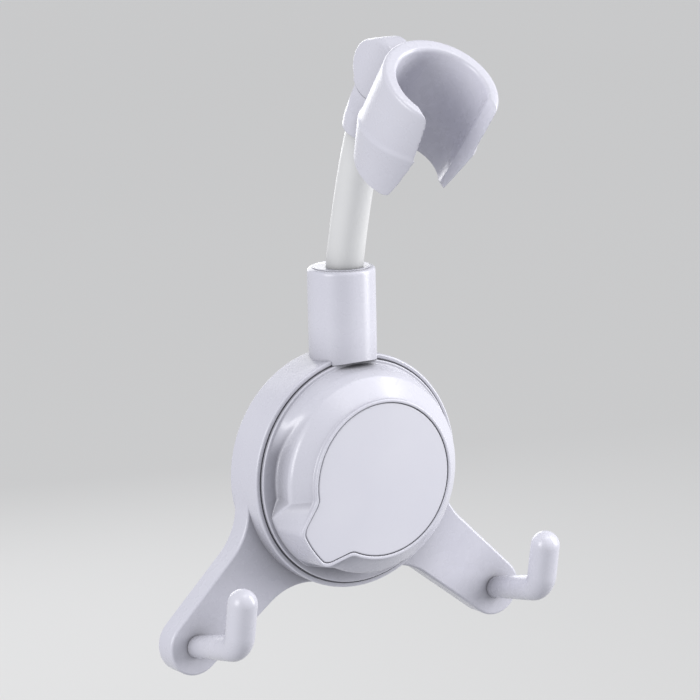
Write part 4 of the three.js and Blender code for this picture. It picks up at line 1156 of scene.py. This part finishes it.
# The tapered bore, run out below the foot and flared at the rim
def cradle_bore():
    slope = (BORE_RIM_R - BORE_FOOT_R) / (RIM_Z - FOOT_Z)
    return shifted(revolve(rounded([
        (0, FOOT_Z - BORE_RUN_OUT),
        (BORE_FOOT_R - slope * BORE_RUN_OUT, FOOT_Z - BORE_RUN_OUT),
        (BORE_RIM_R - slope * BORE_EDGE, RIM_Z - BORE_EDGE, BORE_EDGE),
        (BORE_RIM_R + BORE_EDGE, RIM_Z, BORE_EDGE / 2),
        (BORE_RIM_R + BORE_EDGE, RIM_Z + FAR),
        (0, RIM_Z + FAR),
    ])), 0, BORE_Y, 0)


def cradle():
    lug = rounded_plate(lug_outline, LUG / 2, LUG_EDGE)
    foot = rounded_plate(lug_foot, LUG / 2, LUG_FOOT_EDGE)
    slot = front_plate(slot_outline(), -BORE_Y, FAR)
    screw_hole = turned_across(bar(PIVOT_BORE_R, TILT_SKIN - LUG / 2, LUG))
    body = union(cradle_wall(), union(lug, foot))
    body = cut(body, cradle_bore(), slot, tongue_room(), collar_room(), screw_hole)
    return moved(softened(body, CRADLE_EASE_ROUNDS), CRADLE_FRAME)


riding("base_body", "base", base_body(), "abs")
riding("left_hook", "base", hook(-1), "abs")
riding("right_hook", "base", hook(1), "abs")
riding("knob_body", "knob", knob_body(), "abs")
riding("knob_panel", "knob", knob_panel(), "panel")
riding("arm_tip", "tip", arm_tip(), "abs")
riding("cradle", "cradle", cradle(), "abs", CRADLE_SHARP_FROM)
cap = new_piece("socket_cap_looks", socket_cap(), "abs")
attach(cap, "arm")

bendable("arm_sleeve", "sleeve", SLEEVE_R, SLEEVE_BORE_R)
bendable("arm_core", "aluminium", CORE_R, CORE_BORE_R)

cup = new_piece("suction_cup_looks", suction_cup(), "soft")
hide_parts("suction_cup")
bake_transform(cup)


# Pieces that keep their own meshes

SCREWS = ("left_hook_screw", "right_hook_screw", "socket_screw", "tilt_screw", "stud_screw")
KEPT = {
    "steel": (*SCREWS, "stud_washer"),
    "nylon": ("pull_stud", "arm_plug", "left_friction_washer", "right_friction_washer"),
    "rubber": ("plug_o_ring",),
    "brass": ("lower_ferrule", "upper_ferrule"),
}
for material, nodes in KEPT.items():
    for node in nodes:
        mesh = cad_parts[node].data
        mesh.materials.clear()
        mesh.materials.append(MATERIALS[material])


# Floor, lights and camera

def floor():
    bm = bmesh.new()
    bmesh.ops.create_grid(bm, x_segments=1, y_segments=1, size=FLOOR_SIZE / 2)
    mesh = mesh_of("floor", bm)
    plane = placed("floor", mesh)
    plane.location = (0, 0, FLOOR_Z)
    paint, tree, shader = principled("floor_paint")
    shaded(tree, shader, FLOOR_SHADES, scale=0.6)
    shader.inputs["Roughness"].default_value = FLOOR_ROUGHNESS
    shader.inputs["Emission Color"].default_value = FLOOR_GLOW_COLOUR
    shader.inputs["Emission Strength"].default_value = FLOOR_GLOW
    mesh.materials.append(paint)
    plane.visible_diffuse = False


# Unit vector at an azimuth, counted from the front to the right, and an elevation
def unit_at(azimuth, elevation):
    turn = math.radians(azimuth)
    rise = math.radians(elevation)
    return Vector((math.sin(turn) * math.cos(rise), -math.cos(turn) * math.cos(rise), math.sin(rise)))


# A soft box that faces the object, with its strength there
def soft_box(name, azimuth, elevation, distance, size, strength):
    source = unit_at(azimuth, elevation)
    data = bpy.data.lights.new(name, "AREA")
    data.shape = "RECTANGLE"
    data.size, data.size_y = size
    data.energy = strength * math.pi * distance ** 2
    light = placed(name, data)
    light.location = LIGHTS_AT + source * distance
    light.rotation_euler = source.to_track_quat("Z", "Y").to_euler()


def camera():
    turn = math.radians(CAMERA_AZIMUTH)
    roll = math.radians(CAMERA_ROLL)
    back = unit_at(CAMERA_AZIMUTH, CAMERA_ELEVATION)
    level = Vector((math.cos(turn), math.sin(turn), 0))
    right = level * math.cos(roll) + back.cross(level) * math.sin(roll)
    up = back.cross(right)
    data = bpy.data.cameras.new("photo_camera")
    data.lens = CAMERA_LENS
    data.sensor_width = CAMERA_SENSOR
    data.sensor_fit = "HORIZONTAL"
    data.clip_end = CAMERA_REACH
    view = placed("photo_camera", data)
    axes = Matrix((right, up, back)).transposed().to_4x4()
    view.matrix_world = Matrix.Translation(CAMERA_PLACE) @ axes
    scene.camera = view


def sky():
    studio = bpy.data.worlds.new("studio")
    studio.use_nodes = True
    background = studio.node_tree.nodes["Background"]
    background.inputs["Color"].default_value = SKY_COLOUR
    background.inputs["Strength"].default_value = SKY_STRENGTH
    scene.world = studio


floor()
sky()
camera()
for name, settings in LIGHTS.items():
    soft_box(name, **settings)
scene.view_settings.view_transform = "Standard"
